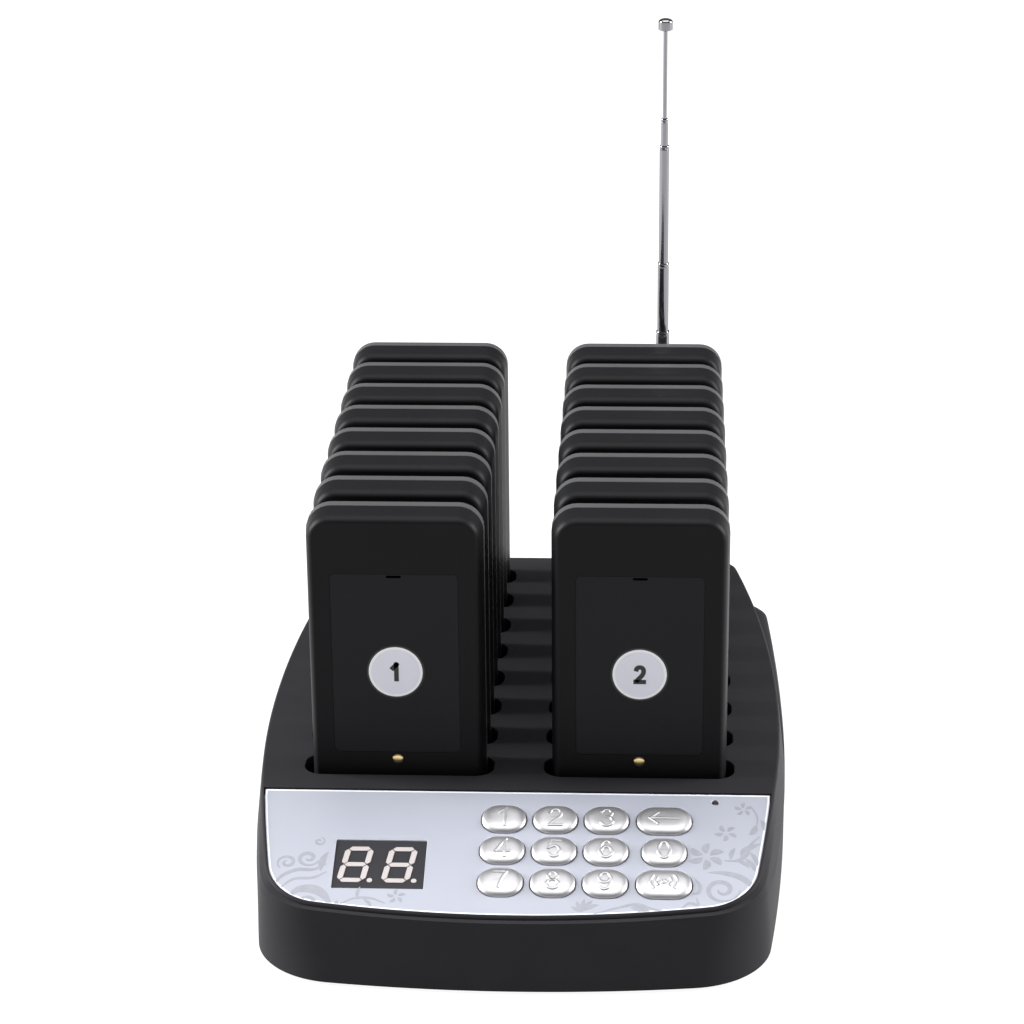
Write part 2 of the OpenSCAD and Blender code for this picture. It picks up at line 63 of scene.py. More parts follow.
# Plan of the base's two tiers: side arcs that meet at the widest place, shallow bows at the
# front and the back, and a rounded corner between each two
Tier = namedtuple("Tier", "half widest front_side_r rear_side_r front back front_corner back_corner")
DECK_TIER = Tier(half=79 * MM, widest=-7.4 * MM, front_side_r=520 * MM, rear_side_r=600 * MM,
                 front=-114.7 * MM, back=113.9 * MM, front_corner=18 * MM, back_corner=9 * MM)
SKIRT_TIER = Tier(half=BASE_W / 2, widest=20 * MM, front_side_r=900 * MM, rear_side_r=1500 * MM,
                  front=FRONT_Y, back=BACK_Y, front_corner=26 * MM, back_corner=12 * MM)
FRONT_BOW_R = 390 * MM
BACK_BOW_R = 2000 * MM
EDGE_R = 0.9 * MM
DECK_DRAFT = 1.8 * MM
SHOULDER_TOP = 15.9 * MM
SHOULDER_DROP = 2.6 * MM
# The shoulder fades into the wall between these two places along the base
SHOULDER_FADE = (-100 * MM, -68 * MM)

# Levels of the wall's rings: shares of the way from the top edge to just above the shoulder,
# then depths below the deck, close together round the shoulder
UPPER_SHARES = [0.25, 0.5, 0.75]
SHOULDER_START = SHOULDER_TOP - 0.5 * MM
LOWER_DEPTHS = [d * MM for d in (15.4, 15.9, 16.0, 16.2, 16.6, 17.2, 17.9, 18.5, 20, 23, 27, 32)]
LEVEL_STEP = 0.12 * MM

# Control panel: X right, Y up the slope, Z out of its face
PANEL_SLOPE = math.radians(17)
PANEL_T = 1.6 * MM
PANEL_RIM = 1.1 * MM
RIM_RISE = 0.4 * MM
PANEL_SEAM = 0.4 * MM
PANEL_GAP = 0.15 * MM
PANEL_EDGE = 0.3 * MM
PANEL_LINE = 0.45 * MM

# Keys
KEY_H = 11.2 * MM
KEY_CORNER = 5.2 * MM
KEY_FLANGE = 0.8 * MM
KEY_RISE = 1.6 * MM
KEY_PILLOW = 5.35 * MM
KEY_GAP = 0.3 * MM

# Pagers
SHELL_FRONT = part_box("pager_1_front_shell")
SHELL_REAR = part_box("pager_1_rear_shell")
PAGER_W = SHELL_FRONT[1].x - SHELL_FRONT[0].x
PAGER_H = SHELL_FRONT[1].z - SHELL_FRONT[0].z
PAGER_T = SHELL_REAR[1].y - SHELL_FRONT[0].y
FRONT_T = SHELL_FRONT[1].y - SHELL_FRONT[0].y
PAGER_CORNER = 7.5 * MM
SLOT_GAP = 0.7 * MM
SLOT_REACH = 2.3 * MM
SLOT_CORNER = 5.5 * MM
SLOT_EDGE = 0.35 * MM
SLOT_DEPTH = 5 * MM


# ---------- materials ----------


def socket(shader, name, value):
    """Sets one input of a shader by its name."""
    shader.inputs[name].default_value = value


def shaded(name, colour, roughness, metallic=0.0, specular=0.5, coat=0.0,
           mottle=0.05, mottle_scale=60, grain=0.0, grain_scale=2600, rough_spread=0.06,
           stretch=(1, 1, 1)):
    """A surface with slow colour variation, a fine grain and uneven polish."""
    made = bpy.data.materials.new(name)
    made.use_nodes = True
    nodes, links = made.node_tree.nodes, made.node_tree.links
    shader = nodes["Principled BSDF"]
    socket(shader, "Metallic", metallic)
    socket(shader, "Specular IOR Level", specular)
    socket(shader, "Coat Weight", coat)
    socket(shader, "Coat Roughness", 0.12)
    place = nodes.new("ShaderNodeTexCoord")
    mapping = nodes.new("ShaderNodeMapping")
    mapping.inputs["Scale"].default_value = stretch
    links.new(place.outputs["Object"], mapping.inputs["Vector"])

    cloud = nodes.new("ShaderNodeTexNoise")
    cloud.inputs["Scale"].default_value = mottle_scale
    cloud.inputs["Detail"].default_value = 4
    links.new(mapping.outputs["Vector"], cloud.inputs["Vector"])
    ramp = nodes.new("ShaderNodeValToRGB")
    ramp.color_ramp.elements[0].position = 0.3
    ramp.color_ramp.elements[0].color = (*[c * (1 - mottle) for c in colour], 1)
    ramp.color_ramp.elements[1].position = 0.7
    ramp.color_ramp.elements[1].color = (*[min(1, c * (1 + mottle)) for c in colour], 1)
    links.new(cloud.outputs["Fac"], ramp.inputs["Fac"])
    links.new(ramp.outputs["Color"], shader.inputs["Base Color"])

    fine = nodes.new("ShaderNodeTexNoise")
    fine.inputs["Scale"].default_value = grain_scale
    fine.inputs["Detail"].default_value = 2
    links.new(mapping.outputs["Vector"], fine.inputs["Vector"])
    polish = nodes.new("ShaderNodeMapRange")
    polish.inputs["To Min"].default_value = max(0.02, roughness - rough_spread)
    polish.inputs["To Max"].default_value = roughness + rough_spread
    links.new(fine.outputs["Fac"], polish.inputs["Value"])
    links.new(polish.outputs["Result"], shader.inputs["Roughness"])
    if grain:
        bump = nodes.new("ShaderNodeBump")
        bump.inputs["Strength"].default_value = grain
        bump.inputs["Distance"].default_value = 0.05 * MM
        links.new(fine.outputs["Fac"], bump.inputs["Height"])
        links.new(bump.outputs["Normal"], shader.inputs["Normal"])
    return made


# One finish for each material slot of the record
FINISHES = {
    "base_plastic": dict(colour=(0.0245, 0.0235, 0.0265), roughness=0.5, specular=0.04, grain=0.3),
    "bottom_plastic": dict(colour=(0.014, 0.014, 0.015), roughness=0.6, grain=0.5),
    "rubber_foot": dict(colour=(0.01, 0.01, 0.01), roughness=0.85, specular=0.2, grain=0.6,
                        grain_scale=1500),
    "screw_steel": dict(colour=(0.5, 0.5, 0.52), roughness=0.3, metallic=1.0, grain=0.2),
    "panel_print": dict(colour=(0.346, 0.361, 0.418), roughness=0.36, specular=0.3, coat=0.06, mottle=0.012,
                        grain=0.03, rough_spread=0.03),
    "display_face": dict(colour=(0.02, 0.02, 0.024), roughness=0.5, specular=0.25, grain=0.1),
    "segment_pale": dict(colour=(0.43, 0.39, 0.39), roughness=0.5, mottle=0.03, grain=0.1),
    "led_dark": dict(colour=(0.012, 0.006, 0.007), roughness=0.3, coat=0.1),
    "circuit_board": dict(colour=(0.02, 0.11, 0.045), roughness=0.35, mottle=0.25, mottle_scale=900),
    "silicone": dict(colour=(0.28, 0.29, 0.3), roughness=0.7, grain=0.3),
    "tray_plastic": dict(colour=(0.005, 0.005, 0.0055), roughness=0.6, specular=0.25, grain=0.4),
    "contact_gold": dict(colour=(0.78, 0.6, 0.3), roughness=0.22, metallic=1.0, mottle=0.08,
                         mottle_scale=900),
    "shield_steel": dict(colour=(0.6, 0.6, 0.62), roughness=0.35, metallic=1.0, grain=0.15),
    "jack_plastic": dict(colour=(0.01, 0.01, 0.01), roughness=0.4, grain=0.2),
    "key_silver": dict(colour=(0.5, 0.495, 0.51), roughness=0.4, metallic=0.9, mottle=0.02,
                       mottle_scale=300, rough_spread=0.03, grain_scale=900),
    # The chrome's colour is far darker than bare chrome: partly real metal, partly painted reflection, so
    # that its face-on middle shows dark like a reflected dark room
    "chrome": dict(colour=(0.26, 0.26, 0.275), roughness=0.12, metallic=1.0, mottle=0.05, mottle_scale=400,
                   stretch=(1, 1, 0.05), rough_spread=0.04),
    "pager_plastic": dict(colour=(0.0078, 0.0078, 0.0088), roughness=0.46, specular=0.1, grain=0.25),
    "pager_rear": dict(colour=(0.064, 0.064, 0.067), roughness=0.5, specular=0.25, grain=0.25),
    "lens_smoke": dict(colour=(0.01, 0.01, 0.0119), roughness=0.34, specular=0.12, grain=0.06),
    "battery_foil": dict(colour=(0.6, 0.6, 0.62), roughness=0.4, metallic=0.9, grain=0.4, grain_scale=900),
    "motor_steel": dict(colour=(0.5, 0.5, 0.52), roughness=0.3, metallic=1.0, grain=0.1),
    "sticker_white": dict(colour=(0.8, 0.805, 0.885), roughness=0.4, mottle=0.015, grain=0.08),
}
SLOT_MATERIALS = {name: shaded(name, **finish) for name, finish in FINISHES.items()}
WHITE_EDGE = shaded("panel_edge", (0.78, 0.8, 0.86), 0.2, coat=0.5, mottle=0.01)
PRINT_GREY = shaded("panel_ink", (0.262, 0.274, 0.308), 0.4, mottle=0.06, mottle_scale=500)
STICKER_RING = shaded("sticker_ring", (0.95, 0.95, 0.965), 0.35, mottle=0.01)
# Black of the pager's printed number, also used for the dark ring round the label, which is painted shade
STICKER_INK_AND_SHADE = shaded("sticker_ink_and_shade", (0.006, 0.006, 0.007), 0.4, mottle=0.1)


# ---------- building blocks ----------

# Points closer than this are one point
WELD = 1e-7
# How far a cutter's widest ring stands above the face that it cuts
CUT_CLEAR = 0.02 * MM
# Least radius of an inset corner, and of the flat top of a dome
LEAST_CORNER = 0.3 * MM
LEAST_TOP = 0.03 * MM


def add_piece(name, bm, body, slot, materials=None, replaces=(), place=None, sharp=32):
    """Turns a bmesh into a piece that rides on a body and takes its finish from a slot."""
    mesh = bpy.data.meshes.new(name)
    bmesh.ops.recalc_face_normals(bm, faces=bm.faces)
    bm.to_mesh(mesh)
    bm.free()
    for material in materials or [SLOT_MATERIALS[slot]]:
        mesh.materials.append(material)
    for polygon in mesh.polygons:
        polygon.use_smooth = True
    mesh.set_sharp_from_angle(angle=math.radians(sharp))
    return place_mesh(name, mesh, body, replaces, place)


def place_mesh(name, mesh, body, replaces=(), place=None):
    """Makes a piece of a mesh, at its place, on its body."""
    piece = bpy.data.objects.new(name, mesh)
    bpy.context.scene.collection.objects.link(piece)
    if place is not None:
        piece.matrix_world = place
    weighted = piece.modifiers.new("normals", "WEIGHTED_NORMAL")
    weighted.keep_sharp = True
    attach(piece, body)
    if replaces:
        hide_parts(*replaces)
    return piece


def loft(bm, rings, cap_start=True, cap_end=True, material=0):
    """Skins a row of rings of points with quads and closes its ends."""
    made = [[bm.verts.new(p) for p in ring] for ring in rings]
    count = len(made[0])
    faces = []
    for low, high in zip(made, made[1:]):
        for i in range(count):
            j = (i + 1) % count
            faces.append(bm.faces.new((low[i], low[j], high[j], high[i])))
    if cap_start:
        faces.append(bm.faces.new(list(reversed(made[0]))))
    if cap_end:
        faces.append(bm.faces.new(made[-1]))
    for face in faces:
        face.material_index = material
    return faces


def rounded_rect(width, height, radius, centre=(0, 0), steps=8):
    """Points round a rectangle with rounded corners, counterclockwise from the right side."""
    points = []
    corners = [(1, -1, -90), (1, 1, 0), (-1, 1, 90), (-1, -1, 180)]
    for sx, sy, start in corners:
        for k in range(steps + 1):
            angle = math.radians(start + 90 * k / steps)
            points.append((centre[0] + sx * (width / 2 - radius) + radius * math.cos(angle),
                           centre[1] + sy * (height / 2 - radius) + radius * math.sin(angle)))
    return points


def rect_ring(width, height, radius, inset, z, centre=(0, 0), steps=8):
    """A rounded rectangle at a height, shrunk by an inset, or grown by a negative one."""
    points = rounded_rect(width - 2 * inset, height - 2 * inset, max(radius - inset, LEAST_CORNER),
                          centre, steps)
    return [(x, y, z) for x, y in points]


def lathe(bm, profile, steps=48, material=0, centre=(0, 0), closed=False):
    """A turned solid about the local Z axis, from (radius, height) pairs.

    Its ends close on flat caps, or on each other if closed, which leaves a bore right through.
    """
    rings = []
    for radius, z in profile + profile[:1] if closed else profile:
        rings.append([(centre[0] + radius * math.cos(2 * math.pi * k / steps),
                       centre[1] + radius * math.sin(2 * math.pi * k / steps), z) for k in range(steps)])
    loft(bm, rings, cap_start=not closed, cap_end=not closed, material=material)
    if closed:
        bmesh.ops.remove_doubles(bm, verts=bm.verts, dist=WELD)


def rounding(radius_in, radius_down, steps=6):
    """(inset, drop) pairs down a rounded edge, from its flat top to its side."""
    angles = [math.radians(90 * k / steps) for k in range(steps + 1)]
    return [(radius_in * (1 - math.sin(a)), radius_down * (1 - math.cos(a))) for a in angles]


def dome(radius, foot, rise, step=15):
    """(radius, height) pairs over a dome, from a little above its foot to its top."""
    angles = [math.radians(a) for a in range(step, 91, step)]
    return [(max(radius * math.cos(a), LEAST_TOP), foot + rise * math.sin(a)) for a in angles]


def carve(bm, cutters, operation="DIFFERENCE"):
    """Cuts closed shapes out of a closed shape and returns the result as a new bmesh."""
    objects = []
    for name, shape in [("carved", bm)] + [(f"cutter_{i}", c) for i, c in enumerate(cutters)]:
        mesh = bpy.data.meshes.new(name)
        bmesh.ops.recalc_face_normals(shape, faces=shape.faces)
        shape.to_mesh(mesh)
        shape.free()
        made = bpy.data.objects.new(name, mesh)
        bpy.context.scene.collection.objects.link(made)
        objects.append(made)
    body = objects[0]
    for cutter in objects[1:]:
        cut = body.modifiers.new(cutter.name, "BOOLEAN")
        cut.operation = operation
        cut.solver = "EXACT"
        cut.use_self = operation == "INTERSECT"
        cut.object = cutter
    evaluated = body.evaluated_get(bpy.context.evaluated_depsgraph_get())
    result = bmesh.new()
    result.from_mesh(evaluated.to_mesh())
    for item in objects:
        mesh = item.data
        bpy.data.objects.remove(item)
        bpy.data.meshes.remove(mesh)
    return result


def joined(shapes):
    """Several shapes that don't touch, as one bmesh."""
    bm = bmesh.new()
    for shape in shapes:
        mesh = bpy.data.meshes.new("joined")
        bmesh.ops.recalc_face_normals(shape, faces=shape.faces)
        shape.to_mesh(mesh)
        shape.free()
        bm.from_mesh(mesh)
        bpy.data.meshes.remove(mesh)
    return bm


# ---------- plan of the base ----------


def tangent_centre(side_centre, side_r, bow_centre, bow_r, corner_r):
    """Centre of the corner circle that touches a side arc and a bow from inside, on the right."""
    a, b = Vector(side_centre), Vector(bow_centre)
    r1, r2 = side_r - corner_r, bow_r - corner_r
    distance = (b - a).length
    towards = (b - a) / distance
    along = (r1 * r1 - r2 * r2 + distance * distance) / (2 * distance)
    across = math.sqrt(r1 * r1 - along * along)
    options = [a + towards * along + Vector((-towards.y, towards.x)) * across * side for side in (1, -1)]
    inside = [p for p in options if p.x > 0 and (p.y - b.y) * (a.y - b.y) < (a.y - b.y) ** 2 * 4]
    return max(inside, key=lambda p: abs(p.y - b.y))


def direction(start, end):
    """Angle of the way from one point to another."""
    return math.atan2(end[1] - start[1], end[0] - start[0])


def tier_columns(tier, y_break):
    """Points and outward directions round a tier, with one point on each side at y_break."""
    front_r, rear_r = tier.front_side_r, tier.rear_side_r
    front_side, rear_side = (tier.half - front_r, tier.widest), (tier.half - rear_r, tier.widest)
    front_bow, back_bow = (0, tier.front + FRONT_BOW_R), (0, tier.back - BACK_BOW_R)
    c1 = tangent_centre(front_side, front_r, front_bow, FRONT_BOW_R, tier.front_corner)
    c2 = tangent_centre(rear_side, rear_r, back_bow, BACK_BOW_R, tier.back_corner)
    t_break = math.asin((y_break - tier.widest) / front_r)
    # Centre, radius, first and last angle and steps of each arc up the right side
    arcs = [
        (front_bow, FRONT_BOW_R, -math.pi / 2, direction(front_bow, c1), 26),
        (c1, tier.front_corner, direction(front_bow, c1), direction(front_side, c1), 18),
        (front_side, front_r, direction(front_side, c1), t_break, 10),
        (front_side, front_r, t_break, 0, 20),
        (rear_side, rear_r, 0, direction(rear_side, c2), 30),
        (c2, tier.back_corner, direction(rear_side, c2), direction(back_bow, c2), 14),
        (back_bow, BACK_BOW_R, direction(back_bow, c2), math.pi / 2, 16),
    ]
    right = []
    for centre, radius, start, end, steps in arcs:
        for k in range(steps):
            t = start + (end - start) * k / steps
            right.append((Vector((centre[0] + radius * math.cos(t), centre[1] + radius * math.sin(t))),
                          Vector((math.cos(t), math.sin(t)))))
    right.append((Vector((0, tier.back)), Vector((0, 1))))
    left = [(Vector((-p.x, p.y)), Vector((-n.x, n.y))) for p, n in right[-2:0:-1]]
    return right + left


# The top line of the panel's face, where the slope starts, from the plate's highest edge
PLATE_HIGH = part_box("front_panel")[1]
PANEL_TOP = Vector((0, PLATE_HIGH.y - PANEL_T * math.sin(PANEL_SLOPE) + PANEL_SEAM * math.cos(PANEL_SLOPE),
                    PLATE_HIGH.z + PANEL_SEAM * math.sin(PANEL_SLOPE)))
PANEL = Matrix.Translation(PANEL_TOP) @ Matrix.Rotation(PANEL_SLOPE, 4, "X")


def slope_z(y, rise=0.0):
    """Height of the panel's plane, raised by a rise, above the table."""
    return PANEL_TOP.z + rise / math.cos(PANEL_SLOPE) + (y - PANEL_TOP.y) * math.tan(PANEL_SLOPE)


# Where the flat deck breaks into the slope beside the panel
BREAK_SLACK = 0.02 * MM
RIM_BREAK_Y = PANEL_TOP.y + (DECK_Z - slope_z(PANEL_TOP.y, RIM_RISE)) / math.tan(PANEL_SLOPE)
DECK_COLUMNS = tier_columns(DECK_TIER, RIM_BREAK_Y)
SKIRT_COLUMNS = tier_columns(SKIRT_TIER, RIM_BREAK_Y)


def smooth(t):
    """An even rise from 0 to 1 that starts and ends level."""
    t = min(1.0, max(0.0, t))
    return t * t * (3 - 2 * t)


def wall_point(i, depth, top_depth, inset):
    """A point on the wall of column i at a depth below the deck.

    Behind the panel the skirt stands out on a rounded shoulder; along the panel the wall runs
    straight into it.
    """
    deck, deck_out = DECK_COLUMNS[i]
    skirt, skirt_out = SKIRT_COLUMNS[i]
    shoulder_share = smooth((deck.y - SHOULDER_FADE[0]) / (SHOULDER_FADE[1] - SHOULDER_FADE[0]))
    over = min(1.0, max(0.0, (depth - SHOULDER_TOP) / SHOULDER_DROP))
    step = math.sqrt(1 - (1 - over) ** 2)
    ramp = smooth((depth - top_depth) / (DECK_Z - FLOOR_GAP - top_depth))
    share = shoulder_share * step + (1 - shoulder_share) * ramp
    grown = deck + deck_out * (DECK_DRAFT * min(1.0, depth / SHOULDER_TOP) - inset)
    return grown.lerp(skirt - skirt_out * inset, share)


def base_rings(inset, top_drop, slope_rise, edge, bottom_z):
    """Rings of the base's body from its top edge down to the bottom, shrunk by an inset."""
    top_z = DECK_Z - top_drop
    bottom = DECK_Z - bottom_z
    rings = []
    columns = range(len(DECK_COLUMNS))
    start = {}
    for inward, drop in rounding(edge, edge):
        ring = []
        for i in columns:
            deck, out = DECK_COLUMNS[i]
            spot = deck - out * (inset + inward)
            z = min(top_z, slope_z(spot.y, slope_rise)) - drop
            start[i] = DECK_Z - z
            ring.append((spot.x, spot.y, z))
        rings.append(ring)
    depths = {}
    for i in columns:
        levels = [start[i] + (SHOULDER_START - start[i]) * share for share in UPPER_SHARES] + LOWER_DEPTHS
        depths[i] = [start[i]]
        for level in levels:
            depths[i].append(max(level, depths[i][-1] + LEVEL_STEP))
        depths[i].append(bottom)
    for k in range(1, len(depths[0])):
        ring = []
        for i in columns:
            spot = wall_point(i, depths[i][k], start[i], inset)
            ring.append((spot.x, spot.y, DECK_Z - depths[i][k]))
        rings.append(ring)
    return rings


def base_solid(inset, top_drop, slope_rise, edge, bottom_z):
    """The body of the base as a closed shape: its wall, its flat deck and its sloping front."""
    bm = bmesh.new()
    rings = base_rings(inset, top_drop, slope_rise, edge, bottom_z)
    loft(bm, rings[::-1], cap_end=False)
    bm.verts.ensure_lookup_table()
    count = len(DECK_COLUMNS)
    top = list(bm.verts)[-count:]
    half = count // 2
    sloped = [i for i in range(half + 1) if rings[0][i][1] < RIM_BREAK_Y - BREAK_SLACK]
    turn = sloped[-1] + 1
    bm.faces.new([top[i] for i in range(turn, count - turn + 1)])
    bm.faces.new([top[i % count] for i in range(count - turn, count + turn + 1)])
    return bm


def prism(points, low, high, place=None):
    """A closed upright shape over a plan."""
    bm = bmesh.new()
    loft(bm, [[(x, y, low) for x, y in points], [(x, y, high) for x, y in points]])
    if place is not None:
        bm.transform(place)
    return bm


def edged_cutter(width, height, radius, depth, edge, place, centre=(0, 0)):
    """A cutter for a hole with rounded lips, its mouth on the local XY plane."""
    bm = bmesh.new()
    rings = [rect_ring(width, height, radius, 0, -depth, centre)]
    for grown, drop in reversed(rounding(edge, edge, 4)):
        rings.append(rect_ring(width, height, radius, -grown, CUT_CLEAR - drop, centre))
    rings.append(rect_ring(width, height, radius, -edge, 1 * MM, centre))
    loft(bm, rings)
    bm.transform(place)
    return bm


def pager_place(n):
    """Where pager n stands: X right, Y up, Z out of its face, from the bottom centre of the face."""
    if n == 1:
        low, high = SHELL_FRONT[0], Vector((SHELL_FRONT[1].x, SHELL_REAR[1].y, SHELL_FRONT[1].z))
    else:
        low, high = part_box(f"pager_{n}")
    spot = Vector(((low.x + high.x) / 2, high.y - PAGER_T, high.z - PAGER_H))
    return Matrix.Translation(spot) @ Matrix.Rotation(math.pi / 2, 4, "X")


# ---------- base ----------

# The cover's hollow: its ceiling under the slope, its top edge, and how far it runs out below
UNDER_SLOPE = 4.1 * MM
INSIDE_EDGE = 0.3 * MM
OPEN_BELOW = 4 * MM

# The ledge round the panel's bed, and the way through inside it
PANEL_BED_GAP = 0.1 * MM
LEDGE_W = 4 * MM
LEDGE_TOP_W = 2 * MM
LEDGE_DEEP = 20 * MM

# Openings for the antenna's socket and the DC inlet
SOCKET_STEM_R = 3 * MM
SOCKET_GAP = 0.1 * MM
JACK_GAP = 0.2 * MM
JACK_REACH = 30 * MM
JACK_CORNER = 0.5 * MM


def node_axis(node):
    """Centre of an upright node's plan, its bottom and its top."""
    low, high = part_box(node)
    return Vector(((low.x + high.x) / 2, (low.y + high.y) / 2)), low.z, high.z


def node_radius(node):
    """Radius of an upright round node."""
    low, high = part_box(node)
    return (high.x - low.x) / 2


def make_cover():
    """The black cover: rounded deck with sixteen slots, shouldered wall and the panel's pocket."""
    slots = []
    for n in range(1, PAGERS + 1):
        spot = pager_place(n).translation
        place = Matrix.Translation((spot.x, spot.y + PAGER_T / 2, DECK_Z))
        slots.append(edged_cutter(PAGER_W + 2 * SLOT_REACH, PAGER_T + 2 * SLOT_GAP, SLOT_CORNER,
                                  SLOT_DEPTH, SLOT_EDGE, place))
    inside = base_solid(WALL, WALL, RIM_RISE - UNDER_SLOPE, INSIDE_EDGE, -OPEN_BELOW)
    cutters = [inside, joined(slots)]
    cutters.append(pocket(PANEL_GAP - PANEL_RIM, PANEL_SEAM - PANEL_GAP, -PANEL_T - PANEL_BED_GAP))
    cutters.append(pocket(-PANEL_RIM - LEDGE_W, LEDGE_TOP_W, -LEDGE_DEEP))
    hole = bmesh.new()
    hole_r = SOCKET_STEM_R + SOCKET_GAP
    lathe(hole, [(hole_r, DECK_Z - SLOT_DEPTH), (hole_r, DECK_Z + SLOT_DEPTH)],
          centre=node_axis("antenna_socket")[0])
    cutters.append(hole)
    jack_low, jack_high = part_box("dc_jack")
    jack_plan = rounded_rect(jack_high.x - jack_low.x + 2 * JACK_GAP, JACK_REACH, JACK_CORNER,
                             ((jack_low.x + jack_high.x) / 2, jack_high.y), 2)
    cutters.append(prism(jack_plan, jack_low.z - JACK_GAP, jack_high.z + JACK_GAP))
    shell = carve(base_solid(0, 0, RIM_RISE, EDGE_R, FLOOR_GAP), cutters)
    add_piece("cover_shell", shell, "base", "base_plastic", replaces=["base_cover"])


# ---------- control panel ----------

ABOVE_PANEL = 15 * MM
HOLE_DEPTH = 4 * MM
HOLE_EDGE = 0.12 * MM
WINDOW_GAP = 0.3 * MM
WINDOW_CORNER = 0.3 * MM
LED_HOLE_R = 1.15 * MM
LED_HOLE_EDGE = 0.1 * MM


def panel_outline(grow, top_gap):
    """Plan points of the deck's outline in front of the panel's top line."""
    limit = PANEL_TOP.y - top_gap * math.cos(PANEL_SLOPE)
    points = [deck + out * grow for deck, out in DECK_COLUMNS]
    half = len(points) // 2
    from_back = points[-half:] + points[:half]
    front = [p for p in from_back if p.y < limit]
    spread = Vector((0.1 * MM, 0))
    ends = [Vector((front[-1].x, limit)) + spread, Vector((front[0].x, limit)) - spread]
    return front + ends


def panel_ring(points, rise):
    """The plan points at a rise above the panel's face."""
    return [(p.x, p.y, slope_z(p.y, rise)) for p in points]


def pocket(grow, top_gap, low):
    """A cutter with the panel's outline, from a depth below its face up into the open."""
    bm = bmesh.new()
    outline = panel_outline(grow, top_gap)
    loft(bm, [panel_ring(outline, low), panel_ring(outline, ABOVE_PANEL)])
    return bm


def panel_holes():
    """Cutters for the display window, the keys and the indicator."""
    cutters = []
    for node in ["display_module", "indicator_led"] + KEYS:
        centre, size = on_panel_box(node)
        place = PANEL @ Matrix.Translation((centre.x, centre.y, 0))
        if node == "display_module":
            width, height, corner, edge = size.x + WINDOW_GAP, size.y + WINDOW_GAP, WINDOW_CORNER, HOLE_EDGE
        elif node == "indicator_led":
            width, height, corner, edge = 2 * LED_HOLE_R, 2 * LED_HOLE_R, LED_HOLE_R, LED_HOLE_EDGE
        else:
            width, height = key_width(node) + 2 * KEY_GAP, KEY_H + 2 * KEY_GAP
            corner, edge = KEY_CORNER + KEY_GAP, HOLE_EDGE
        cutters.append(edged_cutter(width, height, corner, HOLE_DEPTH, edge, place))
    return cutters


def on_panel_box(node):
    """Centre and size of a CAD node in the panel's own frame."""
    back = PANEL.inverted()
    points = [back @ v.co for v in frame["nodes"][node].data.vertices]
    low = Vector([min(p[k] for p in points) for k in range(3)])
    high = Vector([max(p[k] for p in points) for k in range(3)])
    return (low + high) / 2, high - low


def key_width(node):
    """A key's width without the flange that holds it under the panel."""
    return on_panel_box(node)[1].x - 2 * KEY_FLANGE


def make_panel():
    """The silver-blue plate with a bright edge and a thin white line along it."""
    bm = bmesh.new()
    rings = [panel_ring(panel_outline(-PANEL_RIM, PANEL_SEAM), -PANEL_T)]
    for inward, drop in reversed(rounding(PANEL_EDGE, PANEL_EDGE, 3)):
        rings.append(panel_ring(panel_outline(-PANEL_RIM - inward, PANEL_SEAM + inward), -drop))
    white = PANEL_EDGE + PANEL_LINE
    rings.append(panel_ring(panel_outline(-PANEL_RIM - white, PANEL_SEAM + white), 0))
    loft(bm, rings, material=1)
    bm.faces.ensure_lookup_table()
    bm.faces[-1].material_index = 0
    holes = joined(panel_holes())
    for face in holes.faces:
        face.material_index = 1
    add_piece("panel_plate", carve(bm, [holes]), "base", "panel_print",
              [SLOT_MATERIALS["panel_print"], WHITE_EDGE], replaces=["front_panel"], sharp=5)


# ---------- keys ----------

# A key's crown: height at its edge and its bulge, as shares of its rise, and two powers that
# say how flat its middle is and how round its edge
CROWN_EDGE = 0.08
CROWN_BULGE = 0.82
CROWN_FLAT = 3.2
CROWN_ROUND = 0.56
CROWN_RINGS = 14
CROWN_SPREAD = 1.7
KEY_FOOT = PANEL_T + 0.2 * MM


def crown(inset):
    """Height of a key's pillow above the panel at a distance in from its outline."""
    t = min(1.0, max(0.0, inset / KEY_PILLOW))
    return KEY_RISE * (CROWN_EDGE + CROWN_BULGE * (1 - (1 - t) ** CROWN_FLAT) ** CROWN_ROUND)


def key_inset(x, y, width):
    """Distance of a point from the outline of a key, inwards."""
    qx = abs(x) - (width / 2 - KEY_CORNER)
    qy = abs(y) - (KEY_H / 2 - KEY_CORNER)
    outside = math.hypot(max(qx, 0), max(qy, 0)) + min(max(qx, qy), 0)
    return KEY_CORNER - outside


def key_body(width):
    """The part of a key above its flange, with its crown's rings closer towards the edge."""
    bm = bmesh.new()
    rings = [rect_ring(width, KEY_H, KEY_CORNER, 0, -KEY_FOOT)]
    for k in range(CROWN_RINGS + 1):
        inset = KEY_PILLOW * (k / CROWN_RINGS) ** CROWN_SPREAD
        rings.append(rect_ring(width, KEY_H, KEY_CORNER, inset, crown(inset)))
    loft(bm, rings)
    return bm


def stroke(bm, points, width, low, high, shoulder=0.0, closed=False):
    """A ribbon of a width along a row of points, its upper edges taken off by a shoulder."""
    points = [Vector(p) for p in points]
    count = len(points)
    rings = []
    for i, point in enumerate(points):
        before = points[i - 1] if closed or i else point
        after = points[(i + 1) % count] if closed or i < count - 1 else point
        along = (after - before).normalized()
        half = width(i / (count - 1)) / 2 if callable(width) else width / 2
        side = Vector((-along.y, along.x))
        section = [(half, low), (-half, low), (-half, high)]
        if shoulder:
            section += [(shoulder - half, high + shoulder), (half - shoulder, high + shoulder)]
        section += [(half, high)]
        rings.append([(*(point + side * across), z) for across, z in section])
    if closed:
        rings.append(rings[0])
    loft(bm, rings, cap_start=not closed, cap_end=not closed)
    if closed:
        bmesh.ops.remove_doubles(bm, verts=bm.verts, dist=WELD)


def arc(centre, radius, start, end, steps=20):
    """Points along an arc between two angles in degrees."""
    return [(centre[0] + radius * math.cos(math.radians(start + (end - start) * k / steps)),
             centre[1] + radius * math.sin(math.radians(start + (end - start) * k / steps)))
            for k in range(steps + 1)]


